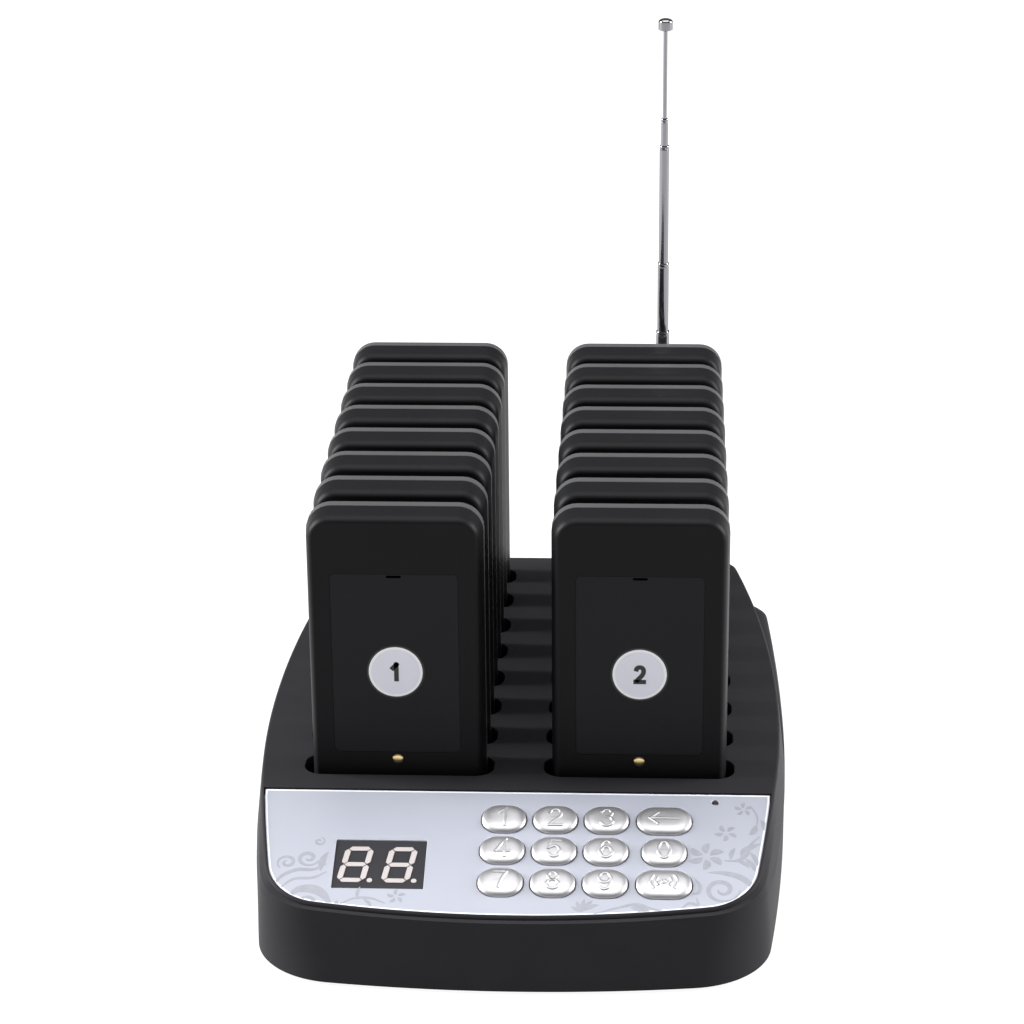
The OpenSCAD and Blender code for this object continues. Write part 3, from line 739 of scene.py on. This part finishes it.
def curve_through(points, steps=10):
    """Points along a smooth curve that passes through the given ones."""
    points = [Vector(p) for p in points]
    made = []
    for i in range(len(points) - 1):
        a, b = points[i], points[i + 1]
        before = points[i - 1] if i else a - (b - a)
        after = points[i + 2] if i + 2 < len(points) else b + (b - a)
        for k in range(steps):
            t = k / steps
            made.append(0.5 * ((2 * a) + (b - before) * t + (2 * before - 5 * a + 4 * b - after) * t * t
                               + (3 * a - before - 3 * b + after) * t ** 3))
    made.append(points[-1])
    return made


# Numerals as strokes in a box one wide and one high, centred on the origin: straight lines,
# curves through points, and loops given by their centre and two radii
SIX = [(0.4, 0.36), (0.12, 0.5), (-0.24, 0.4), (-0.44, 0.08), (-0.44, -0.24), (-0.2, -0.48), (0.16, -0.49),
       (0.44, -0.3), (0.42, -0.04), (0.14, 0.11), (-0.2, 0.06), (-0.42, -0.16)]
NUMERALS = {
    "0": [("loop", [(0, 0), (0.46, 0.5)])],
    "1": [("line", [(-0.32, 0.26), (0.08, 0.5)]), ("line", [(0.08, 0.5), (0.08, -0.5)])],
    "2": [("curve", [(-0.44, 0.22), (-0.3, 0.43), (0.02, 0.5), (0.36, 0.41), (0.44, 0.2), (0.26, -0.06),
                     (-0.44, -0.49)]),
          ("line", [(-0.44, -0.5), (0.46, -0.5)])],
    "3": [("curve", [(-0.42, 0.32), (-0.18, 0.48), (0.22, 0.47), (0.4, 0.28), (0.24, 0.07), (-0.1, 0.03)]),
          ("curve", [(-0.1, 0.03), (0.3, -0.02), (0.46, -0.24), (0.28, -0.45), (-0.14, -0.5),
                     (-0.46, -0.3)])],
    "4": [("line", [(0.2, -0.5), (0.2, 0.5)]), ("line", [(0.2, 0.5), (-0.46, -0.2)]),
          ("line", [(-0.46, -0.2), (0.5, -0.2)])],
    "5": [("line", [(0.42, 0.5), (-0.32, 0.5)]), ("line", [(-0.32, 0.5), (-0.4, 0.02)]),
          ("curve", [(-0.4, 0.02), (0.04, 0.14), (0.38, 0.0), (0.44, -0.22), (0.26, -0.45), (-0.12, -0.5),
                     (-0.46, -0.3)])],
    "6": [("curve", SIX)],
    "7": [("line", [(-0.46, 0.5), (0.46, 0.5)]), ("curve", [(0.46, 0.5), (0.1, 0.04), (-0.14, -0.5)])],
    "8": [("loop", [(0, 0.26), (0.36, 0.24)]), ("loop", [(0, -0.24), (0.45, 0.26)])],
    "9": [("curve", [(-x, -y) for x, y in SIX])],
}


NUMERAL_GAP = 1.7
LOOP_STEPS = 40
LINE_STEPS = 16


def straight(start, end):
    """Points along a straight line, close enough for a stroke that bends over a crown."""
    return [start.lerp(end, k / LINE_STEPS) for k in range(LINE_STEPS + 1)]


def numeral(bm, label, width, height, line, low, high, shoulder=0.0):
    """A number whose digits are strokes of one weight, side by side and centred on the origin."""
    advance = width + NUMERAL_GAP * line
    for place, digit in enumerate(label):
        shift = (place - (len(label) - 1) / 2) * advance
        for kind, points in NUMERALS[digit]:
            if kind == "loop":
                (x, y), (rx, ry) = points
                path = [(shift + (x + rx * math.cos(t)) * width, (y + ry * math.sin(t)) * height)
                        for t in [2 * math.pi * k / LOOP_STEPS for k in range(LOOP_STEPS)]]
                stroke(bm, path, line, low, high, shoulder, closed=True)
                continue
            placed = [Vector((shift + x * width, y * height)) for x, y in points]
            if kind == "line":
                reach = (placed[1] - placed[0]).normalized() * line / 2
                path = straight(placed[0] - reach, placed[1] + reach)
            else:
                path = curve_through(placed)
            stroke(bm, path, line, low, high, shoulder)


# Marks raised on the keys: line weight, how deep they stand in the crown, how high above it,
# and how much their upper edges take off
MARK_LINE = 1.0 * MM
MARK_RELIEF = dict(low=-0.2 * MM, high=0.06 * MM, shoulder=0.18 * MM)
MARK_LIFT = 0.02 * MM
NUMERAL_W = 3.8 * MM
NUMERAL_H = 6.4 * MM
ARROW_LINES = [((4.2, 0), (-3.8, 0)), ((-4.3, -0.2), (-1.7, 2.4)), ((-4.3, 0.2), (-1.7, -2.4))]
POINT_R = 0.45 * MM
POINT_LINE = 0.9 * MM
WAVE_RADII = (2.2 * MM, 3.9 * MM)
WAVE_SPREAD = 42


def delete_symbol():
    """A left arrow, for taking back a digit."""
    bm = bmesh.new()
    for start, end in ARROW_LINES:
        stroke(bm, straight(Vector(start) * MM, Vector(end) * MM), MARK_LINE, **MARK_RELIEF)
    return bm


def call_symbol():
    """Radio waves spreading from a point, for calling a pager."""
    bm = bmesh.new()
    stroke(bm, arc((0, 0), POINT_R, 0, 342, 19), POINT_LINE, **MARK_RELIEF, closed=True)
    for radius in WAVE_RADII:
        for middle in (0, 180):
            wave = arc((0, 0), radius, middle - WAVE_SPREAD, middle + WAVE_SPREAD)
            stroke(bm, wave, MARK_LINE, **MARK_RELIEF)
    return bm


def make_key(node):
    """A satin pillow key, with its numeral or symbol raised on the crown."""
    width = key_width(node)
    centre = on_panel_box(node)[0]
    place = PANEL @ Matrix.Translation((centre.x, centre.y, 0))
    add_piece(node + "_cap_top", key_body(width), node + "_cap", "key_silver", replaces=[node], place=place)
    label = node.split("_")[1]
    if label == "delete":
        mark = delete_symbol()
    elif label == "call":
        mark = call_symbol()
    else:
        mark = bmesh.new()
        numeral(mark, label, NUMERAL_W, NUMERAL_H, MARK_LINE, **MARK_RELIEF)
    for vert in mark.verts:
        vert.co.z += crown(key_inset(vert.co.x, vert.co.y, width)) + MARK_LIFT
    add_piece(node + "_mark", mark, node + "_cap", "key_silver", place=place, sharp=50)


# ---------- display and indicator ----------

DIGIT_H = 14.2 * MM
DIGIT_W = 8.2 * MM
DIGIT_PITCH = 12.7 * MM
DIGIT_SLANT = math.radians(8)
DIGIT_SHIFT = -0.6 * MM
BAR_W = 1.6 * MM
BAR_GAP = 0.22 * MM
BAR_T = 0.2 * MM
DECIMAL_X = 5.4 * MM
MODULE_DROP = 0.4 * MM
LED_R = 1 * MM
LED_LEN = 3 * MM


def bar(bm, start, end, slant_centre):
    """One bar of a digit: a flat bar with mitred ends, leaning with the digit."""
    a, b = Vector(start), Vector(end)
    along = (b - a).normalized()
    side = Vector((-along.y, along.x)) * BAR_W / 2
    a, b = a + along * BAR_GAP, b - along * BAR_GAP
    tip = along * BAR_W / 2
    outline = [a, a + tip - side, b - tip - side, b, b - tip + side, a + tip + side]
    placed = [(slant_centre.x + p.x + p.y * math.tan(DIGIT_SLANT), slant_centre.y + p.y) for p in outline]
    loft(bm, [[(x, y, z) for x, y in placed] for z in (0, BAR_T)])


def make_digits():
    """Two seven-bar digits with their points, on the face of the display."""
    centre = on_panel_box("display_module")[0]
    bm = bmesh.new()
    right, top = (DIGIT_W - BAR_W) / 2, (DIGIT_H - BAR_W) / 2
    for side in (-1, 1):
        spot = Vector((centre.x + side * DIGIT_PITCH / 2 + DIGIT_SHIFT, centre.y))
        for y in (-top, 0, top):
            bar(bm, (-right, y), (right, y), spot)
        for x in (-right, right):
            for low in (-top, 0):
                bar(bm, (x, low), (x, low + top), spot)
        lathe(bm, [(BAR_W / 2, 0), (BAR_W / 2, BAR_T)], 20,
              centre=(spot.x + DECIMAL_X - top * math.tan(DIGIT_SLANT), spot.y - top))
    place = PANEL @ Matrix.Translation((0, 0, -MODULE_DROP))
    add_piece("display_bars", bm, "base", "segment_pale", replaces=["display_segments"], place=place)


def make_led():
    """A small dark dome in its hole."""
    centre, size = on_panel_box("indicator_led")
    bm = bmesh.new()
    top = centre.z + size.z / 2
    foot = top - LED_R / 2
    lathe(bm, [(LED_R, top - LED_LEN), (LED_R, foot)] + dome(LED_R, foot, LED_R / 2), 32,
          centre=(centre.x, centre.y))
    add_piece("indicator_dome", bm, "base", "led_dark", replaces=["indicator_led"], place=PANEL)


# ---------- print on the panel ----------

INK_LOW = -0.05 * MM
INK_HIGH = 0.03 * MM
PRINT_MARGIN = 0.5 * MM
LEAF_STEPS = 12
LEAF_BEND = 0.35
LEAF_TIP = 0.05
LEAF_FULL = 0.8
# Where a petal starts and how wide it is, as shares of the flower's radius
PETAL_START = 0.22
PETAL_W = 0.42


def ink(bm, points, width):
    """A printed line along points given in millimetres on the panel."""
    stroke(bm, [(x * MM, y * MM) for x, y in points], width, INK_LOW, INK_HIGH)


def spiral(centre, start_r, end_r, start, turns, steps=60):
    """Points in millimetres of a spiral from one radius to another."""
    points = []
    for k in range(steps + 1):
        t = k / steps
        radius = start_r + (end_r - start_r) * t
        angle = math.radians(start + 360 * turns * t)
        points.append((centre[0] + radius * math.cos(angle), centre[1] + radius * math.sin(angle)))
    return points


def swell(thin, thick):
    """A line width that is thin at both ends and thick in the middle."""
    return lambda t: (thin + (thick - thin) * math.sin(math.pi * t)) * MM


def stem(bm, points, thin, thick):
    """A swelling line through a few points."""
    ink(bm, curve_through(points), swell(thin, thick))


def curl(bm, centre, start_r, end_r, start, turns, thin, thick):
    """A swelling spiral."""
    ink(bm, spiral(centre, start_r, end_r, start, turns), swell(thin, thick))


def heading(turn):
    """The direction at an angle in degrees."""
    return Vector((math.cos(math.radians(turn)), math.sin(math.radians(turn))))


def leaf(bm, root, length, turn, width):
    """A bent leaf that starts at a root and points along an angle in degrees."""
    along = heading(turn)
    side = Vector((-along.y, along.x)) * width * LEAF_BEND
    points = [Vector(root) + along * length * k / LEAF_STEPS + side * math.sin(math.pi * k / LEAF_STEPS)
              for k in range(LEAF_STEPS + 1)]
    ink(bm, points, lambda t: max(LEAF_TIP, width * math.sin(math.pi * t) ** LEAF_FULL) * MM)


def flower(bm, centre, radius, petals, turn=0):
    """Petals round a centre, each a short wide leaf."""
    for k in range(petals):
        angle = turn + 360 * k / petals
        leaf(bm, Vector(centre) + heading(angle) * radius * PETAL_START, radius * (1 - PETAL_START), angle,
             radius * PETAL_W)


def make_print():
    """A grey pattern of flowers, leaves and curls, of the maker's own drawing, on both ends."""
    bm = bmesh.new()
    # Right end: the flower with its plume, the great curl below it, and small blossoms
    flower(bm, (55.5, -26), 5.4, 6, 20)
    flower(bm, (66.5, -6.5), 2.8, 5, 10)
    flower(bm, (61.3, -16.4), 3.4, 5, 40)
    curl(bm, (59.8, -39.2), 0.9, 5.2, 180, 1.5, 0.4, 1.5)
    stem(bm, [(56, -32.4), (60.5, -32.6), (65.2, -34.2), (68.6, -38), (69.6, -43)], 0.3, 2.0)
    stem(bm, [(52.2, -35), (53.6, -37.6), (53.2, -40.4), (51.4, -41)], 0.3, 1.1)
    curl(bm, (63.8, -46.2), 0.5, 2.4, 0, 1.3, 0.3, 1.0)
    stem(bm, [(60.6, -27.6), (64.4, -27.4), (67.2, -25), (68.4, -21), (71, -17.6)], 0.3, 1.2)
    for root, turn, length in [((62.6, -27.2), 75, 5), ((65.4, -26.2), 62, 5.5), ((67.4, -23.8), 40, 5),
                               ((64.2, -27.4), -40, 4.6), ((66.6, -26.6), -62, 6), ((68, -24), -70, 6)]:
        leaf(bm, root, length, turn, 1.5)
    stem(bm, [(68.6, -5), (70.4, -9.5), (70.2, -14)], 0.2, 0.6)
    leaf(bm, (69.8, -13), 4.4, -115, 1.9)
    leaf(bm, (71.4, -11), 4.2, -80, 1.7)
    # Middle: a spray of leaves and a long low line
    for turn in (160, 128, 95, 62, 30):
        leaf(bm, (21.3, -48), 4.4, turn, 1.4)
    stem(bm, [(23, -49.6), (31, -46.6), (36, -45.4), (41, -47.4), (50, -49.4)], 0.3, 1.0)
    leaf(bm, (34, -46.6), 6.6, -30, 2.6)
    stem(bm, [(48.4, -46.6), (50.6, -44.6), (53, -45.2), (52.6, -42.6)], 0.3, 0.9)
    # Left end: two curls on a forked stem, the broad scroll under them, and a blossom on a line
    curl(bm, (-65, -30.6), 0.5, 2.9, 90, 1.4, 0.35, 1.1)
    curl(bm, (-59, -28.8), 0.5, 3.3, 200, 1.4, 0.35, 1.3)
    curl(bm, (-56.4, -22), 0.3, 1.7, 0, 1.2, 0.25, 0.8)
    stem(bm, [(-68, -40.6), (-66.2, -36.4), (-62, -33.6), (-57.2, -33.4), (-53.6, -31)], 0.3, 1.3)
    stem(bm, [(-66.8, -42), (-62.6, -37.4), (-57, -36.6), (-53.2, -34.2)], 0.3, 1.0)
    leaf(bm, (-55, -34), 8, 78, 2.0)
    stem(bm, [(-63.4, -44.6), (-60.6, -41.4), (-56.4, -41.2), (-53.2, -43.6), (-50.6, -48.6)], 0.6, 3.2)
    curl(bm, (-57.6, -46.4), 0.7, 2.6, 150, 1.2, 0.4, 1.3)
    leaf(bm, (-47.6, -50.4), 5.2, 110, 2.0)
    stem(bm, [(-49, -47.4), (-44.6, -44.6), (-40, -44.4), (-35.6, -46.4)], 0.25, 0.8)
    leaf(bm, (-43.6, -44.6), 4.6, 84, 1.1)
    leaf(bm, (-42, -44.8), 4, -50, 1.1)
    flower(bm, (-32.6, -43.6), 2.8, 5, 15)
    bm.transform(PANEL)
    edge = bmesh.new()
    outline = panel_outline(-PANEL_RIM - PRINT_MARGIN, PANEL_SEAM + PRINT_MARGIN)
    loft(edge, [panel_ring(outline, -1 * MM), panel_ring(outline, 1 * MM)])
    add_piece("panel_pattern", carve(bm, [edge], "INTERSECT"), "base", "panel_print", [PRINT_GREY], sharp=20)


# ---------- pagers ----------

LENS_W = 37.4 * MM
LENS_LOW = 20.6 * MM
LENS_HIGH = 77.8 * MM
LENS_CORNER = 1.5 * MM
LENS_DEPTH = 0.05 * MM
LENS_T = 0.8 * MM
LENS_GAP = 0.06 * MM
STICKER_Z = 46.7 * MM
DOME_Z = 18.2 * MM
DOME_R = 1.6 * MM
FOOT_PAD_X = 8 * MM
FOOT_PAD_R = 1.5 * MM
SHELL_T = 1.7 * MM
FACE_T = 2.5 * MM
FACE_ROUND_IN = 2.5 * MM
FACE_ROUND_DEPTH = 4.0 * MM
SIDE_DRAFT = 0.45 * MM
BACK_ROUND = 1.0 * MM
SEAM_EDGE = 0.12 * MM
SEAM_W = 0.45 * MM
SEAM_DEPTH = 3.2 * MM
LENS_RECESS_EDGE = 0.03 * MM
LENS_BEVEL = 0.06 * MM
DASH_W = 4.4 * MM
DASH_H = 0.8 * MM
DASH_CORNER = 0.3 * MM
DASH_Y = LENS_HIGH - 0.8 * MM
# The dome's hole flares at the face
DOME_HOLE = [(DOME_R * 1.02, -3.4 * MM), (DOME_R * 1.02, -0.25 * MM), (DOME_R * 1.32, 0.4 * MM)]
DOME_BACK = -3.1 * MM
DOME_FOOT = -0.1 * MM
DOME_RISE = 0.28 * MM
PAD_Y = 0.04 * MM
PAD_EDGE = 0.2 * MM
PAD_TOP = 1.5 * MM
PAGER_MID = (0, PAGER_H / 2)
LENS_MID = (0, (LENS_LOW + LENS_HIGH) / 2)

# The round label: radius, height and material of its dark outer disc, its ring and its centre; the outer
# disc shows as a dark ring of painted shade round the label's edge
LABEL_DISCS = [(8.5 * MM, 0.02 * MM, 2), (7.95 * MM, 0.04 * MM, 1), (7.2 * MM, 0.06 * MM, 0)]
LABEL_FOOT = -0.05 * MM
LABEL_INK = 2
LABEL_TEXT = dict(width=2.6 * MM, height=4.7 * MM, line=1.4 * MM, low=0, high=0.08 * MM)
STICKER_MATERIALS = [SLOT_MATERIALS["sticker_white"], STICKER_RING, STICKER_INK_AND_SHADE]


def pager_ring(inset, z):
    """The pager's outline at a distance from its face, shrunk by an inset."""
    return rect_ring(PAGER_W, PAGER_H, PAGER_CORNER, inset, z, PAGER_MID)


def dash_cutter(low):
    """The short sound slot at the window's top edge, cut down to a depth."""
    return prism(rounded_rect(DASH_W, DASH_H, DASH_CORNER, (0, DASH_Y), 4), low, 1 * MM)


def front_shell():
    """A tray with a soft front edge, open at the back, with a shallow recess for the lens."""
    bm = bmesh.new()
    rings = []
    for inward, drop in rounding(FACE_ROUND_IN - SIDE_DRAFT, FACE_ROUND_DEPTH, 9):
        rings.append(pager_ring(SIDE_DRAFT + inward, -drop))
    rings.append(pager_ring(0, -FRONT_T + SEAM_EDGE))
    rings.append(pager_ring(SEAM_EDGE, -FRONT_T))
    rings.append(pager_ring(SHELL_T, -FRONT_T))
    rings.append(pager_ring(SHELL_T, -FACE_T))
    loft(bm, rings)
    recess = edged_cutter(LENS_W + 2 * LENS_GAP, LENS_HIGH - LENS_LOW + 2 * LENS_GAP, LENS_CORNER,
                          LENS_DEPTH + LENS_T, LENS_RECESS_EDGE, Matrix.Translation((*LENS_MID, 0)))
    dome_hole = bmesh.new()
    lathe(dome_hole, DOME_HOLE, 40, centre=(0, DOME_Z))
    return carve(bm, [recess, dome_hole, dash_cutter(-3 * MM)])


def rear_shell():
    """The back half, whose lip leaves a dark seam behind the front half."""
    bm = bmesh.new()
    start = -FRONT_T - SEAM_W
    rings = [pager_ring(SEAM_DEPTH, -FRONT_T + 1 * MM), pager_ring(SEAM_DEPTH, start),
             pager_ring(SEAM_EDGE, start), pager_ring(0, start - SEAM_EDGE)]
    for inward, drop in reversed(rounding(BACK_ROUND, BACK_ROUND)):
        rings.append(pager_ring(inward, drop - PAGER_T))
    loft(bm, rings)
    return bm


def lens_plate():
    """The smoked window, with the sound slot at its top edge."""
    bm = bmesh.new()
    height = LENS_HIGH - LENS_LOW
    rings = [rect_ring(LENS_W, height, LENS_CORNER, 0, -LENS_DEPTH - LENS_T, LENS_MID)]
    for inward, drop in reversed(rounding(LENS_BEVEL, LENS_BEVEL, 3)):
        rings.append(rect_ring(LENS_W, height, LENS_CORNER, inward, -LENS_DEPTH - drop, LENS_MID))
    loft(bm, rings)
    return carve(bm, [dash_cutter(-2 * MM)])


def contacts():
    """The gold dome on the face, and two pads on the foot that meet the charging pins."""
    button = bmesh.new()
    profile = [(DOME_R, DOME_BACK), (DOME_R, DOME_FOOT)] + dome(DOME_R * 0.96, DOME_FOOT, DOME_RISE, 10)
    lathe(button, profile, 40, centre=(0, DOME_Z))
    pads = bmesh.new()
    for x in (-FOOT_PAD_X, FOOT_PAD_X):
        profile = [(FOOT_PAD_R, PAD_TOP), (FOOT_PAD_R, PAD_Y + PAD_EDGE), (FOOT_PAD_R - PAD_EDGE, PAD_Y)]
        lathe(pads, profile, 32, centre=(x, FRONT_T / 2))
    # The pads are turned so that they look down, out of the pager's foot
    for vert in pads.verts:
        x, depth, rise = vert.co
        vert.co = (x, rise, -depth)
    return joined([button, pads])


def sticker(number):
    """A round number label: a black ring of painted shade round it, white ring, pale centre and the pager's
    number.
    """
    discs = bmesh.new()
    for radius, top, material in LABEL_DISCS:
        lathe(discs, [(radius, LABEL_FOOT), (radius, top)], 72, material)
    text = bmesh.new()
    numeral(text, str(number), **LABEL_TEXT)
    for face in text.faces:
        face.material_index = LABEL_INK
    bm = joined([discs, text])
    bm.transform(Matrix.Translation((0, STICKER_Z, -LENS_DEPTH)))
    return bm


def make_pagers():
    """Sixteen pagers: the shells, windows and contacts share their meshes, the numbers differ."""
    parts = [("front", front_shell(), "pager_plastic", "pager_1_front_shell"),
             ("rear", rear_shell(), "pager_rear", "pager_1_rear_shell"),
             ("lens", lens_plate(), "lens_smoke", "pager_1_lens"),
             ("contacts", contacts(), "contact_gold", "pager_1_contacts")]
    shared = {}
    for n in range(1, PAGERS + 1):
        body = f"pager_{n}_body"
        place = pager_place(n)
        for kind, bm, slot, node in parts:
            name = f"pager_{n}_{kind}"
            replaced = [node] if n == 1 else [f"pager_{n}"] if kind == "front" else []
            if n == 1:
                shared[kind] = add_piece(name, bm, body, slot, replaces=replaced, place=place).data
            else:
                place_mesh(name, shared[kind], body, replaced, place)
        replaced = ["pager_1_sticker"] if n == 1 else []
        add_piece(f"pager_{n}_number", sticker(n), body, "sticker_white", STICKER_MATERIALS, replaced, place)


# ---------- antenna ----------

TUBE_FLOOR = 2 * MM
TUBE_WALL = 0.28 * MM
TUBE_LIP = 0.25 * MM
# Each tube's groove: its depth, and how far its two edges and its floor lie below the lip
GROOVE_DEPTH = 0.12 * MM
GROOVE_EDGES = (1.6 * MM, 0.8 * MM)
GROOVE_FLOOR = (1.3 * MM, 1.0 * MM)
TIP_CROWN = 1.1 * MM
TIP_FOOT_IN = 0.4 * MM
TIP_FOOT_RISE = 0.35 * MM
SOCKET_BORE_R = 1.8 * MM
SOCKET_EDGE = 0.6 * MM
SOCKET_BORE_EDGE = 0.3 * MM


def make_antenna():
    """Drawn chrome tubes with rolled lips, a thin rod and its domed tip."""
    for n in range(1, 5):
        node = f"antenna_tube_{n}"
        centre, bottom, top = node_axis(node)
        radius = node_radius(node)
        bore = radius - TUBE_WALL
        groove_r = radius - GROOVE_DEPTH
        outside = [(radius - TUBE_LIP, bottom), (radius, bottom + TUBE_LIP),
                   (radius, top - GROOVE_EDGES[0]), (groove_r, top - GROOVE_FLOOR[0]),
                   (groove_r, top - GROOVE_FLOOR[1]), (radius, top - GROOVE_EDGES[1]),
                   (radius, top - TUBE_LIP), (radius - TUBE_LIP * 0.3, top - TUBE_LIP * 0.3),
                   (radius - TUBE_LIP, top), (bore, top)]
        bm = bmesh.new()
        if n == 1:
            lathe(bm, outside + [(bore, bottom + TUBE_FLOOR)], centre=centre)
        else:
            lathe(bm, outside + [(bore, bottom)], centre=centre, closed=True)
        body = "antenna_arm" if n == 1 else f"antenna_stage_{n}"
        add_piece(f"{node}_chrome", bm, body, "chrome", replaces=[node])
    centre, bottom, top = node_axis("antenna_rod")
    radius = node_radius("antenna_rod")
    bm = bmesh.new()
    lathe(bm, [(radius, bottom), (radius, top)], 32, centre=centre)
    add_piece("antenna_rod_chrome", bm, "antenna_stage_5", "chrome", replaces=["antenna_rod"])
    centre, bottom, top = node_axis("antenna_tip")
    radius = node_radius("antenna_tip")
    shoulder = top - TIP_CROWN
    profile = [(radius - TIP_FOOT_IN, bottom), (radius, bottom + TIP_FOOT_RISE), (radius, shoulder)]
    profile += dome(radius, shoulder, TIP_CROWN)
    bm = bmesh.new()
    lathe(bm, profile, 40, centre=centre)
    add_piece("antenna_tip_cap", bm, "antenna_stage_5", "chrome", replaces=["antenna_tip"])


def make_socket():
    """The black ring that the antenna turns in."""
    centre, bottom, top = node_axis("antenna_socket")
    radius = node_radius("antenna_socket")
    bore = SOCKET_BORE_R
    profile = [(bore, bottom), (SOCKET_STEM_R, bottom), (SOCKET_STEM_R, DECK_Z), (radius, DECK_Z)]
    profile += [(radius - inward, top - drop)
                for inward, drop in reversed(rounding(SOCKET_EDGE, SOCKET_EDGE, 5))]
    profile += [(bore + SOCKET_BORE_EDGE, top), (bore, top - SOCKET_BORE_EDGE)]
    bm = bmesh.new()
    lathe(bm, profile, centre=centre, closed=True)
    add_piece("antenna_ring", bm, "base", "base_plastic", replaces=["antenna_socket"])


# ---------- camera, light and floor ----------

# The photographer's place and aim, solved from the rows of pagers; lens and sensor in millimetres
CAMERA_AT = Vector((0.03975, -0.87281, 0.44809))
CAMERA_YAW = math.radians(2.8637)
CAMERA_DOWN = math.radians(21.6905)
CAMERA_ROLL = math.radians(-0.5563)
CAMERA_LENS = 107.73
CAMERA_SENSOR = 36

FLOOR_REACH = 6
FLOOR_GLOW = 0.94
SKY_GLOW = 0.2
# Place, aim, size and power of each lamp
LAMPS = {
    "overhead": ((0, 0.1, 1.5), (0, 0, 0), (1.4, 1.2), 18),
    "left": ((-1.2, 0.1, 0.6), (0, 0, 0.05), (0.5, 0.8), 40),
    "right": ((1.3, 0.2, 0.6), (0, 0, 0.05), (0.5, 0.9), 30),
}


def make_camera():
    """The camera of the photograph."""
    camera = bpy.data.cameras.new("camera")
    camera.lens = CAMERA_LENS
    camera.sensor_width = CAMERA_SENSOR
    camera.clip_start = 0.01
    made = bpy.data.objects.new("camera", camera)
    bpy.context.scene.collection.objects.link(made)
    made.matrix_world = (Matrix.Translation(CAMERA_AT) @ Matrix.Rotation(CAMERA_YAW, 4, "Z")
                         @ Matrix.Rotation(math.pi / 2 - CAMERA_DOWN, 4, "X")
                         @ Matrix.Rotation(CAMERA_ROLL, 4, "Z"))
    bpy.context.scene.camera = made


def area_light(name, at, look_at, size, power):
    """A soft rectangular light that faces a point."""
    lamp = bpy.data.lights.new(name, "AREA")
    lamp.shape = "RECTANGLE"
    lamp.size, lamp.size_y = size
    lamp.energy = power
    made = bpy.data.objects.new(name, lamp)
    bpy.context.scene.collection.objects.link(made)
    aim = (Vector(look_at) - Vector(at)).to_track_quat("-Z", "Y")
    made.matrix_world = Matrix.Translation(at) @ aim.to_matrix().to_4x4()


def make_studio():
    """A plain white floor, and soft light from above and both sides."""
    mesh = bpy.data.meshes.new("floor")
    corners = [(x * FLOOR_REACH, y * FLOOR_REACH, 0) for x, y in ((-1, -1), (1, -1), (1, 1), (-1, 1))]
    mesh.from_pydata(corners, [], [(0, 1, 2, 3)])
    paint = shaded("floor_white", (0.15, 0.15, 0.15), 0.7, mottle=0.004, specular=0.1)
    shader = paint.node_tree.nodes["Principled BSDF"]
    socket(shader, "Emission Color", (1, 1, 1, 1))
    socket(shader, "Emission Strength", FLOOR_GLOW)
    mesh.materials.append(paint)
    floor = bpy.data.objects.new("floor", mesh)
    bpy.context.scene.collection.objects.link(floor)
    world = bpy.data.worlds.new("studio")
    bpy.context.scene.world = world
    world.use_nodes = True
    background = world.node_tree.nodes["Background"]
    background.inputs["Color"].default_value = (1, 1, 1, 1)
    background.inputs["Strength"].default_value = SKY_GLOW
    for name, (at, look_at, size, power) in LAMPS.items():
        area_light(name, at, look_at, size, power)
    bpy.context.scene.view_settings.view_transform = "Standard"


def finish_cad_nodes():
    """Gives every CAD node that stays in view the finish of its slot."""
    for part in frame["record"]["subparts"]:
        made = frame["nodes"][part["node"]]
        material = SLOT_MATERIALS[part["material_slot"]]
        made.data.materials.clear()
        made.data.materials.append(material)


make_camera()
make_cover()
make_panel()
make_print()
make_digits()
make_led()
for key in KEYS:
    make_key(key)
make_pagers()
make_antenna()
make_socket()
finish_cad_nodes()
make_studio()
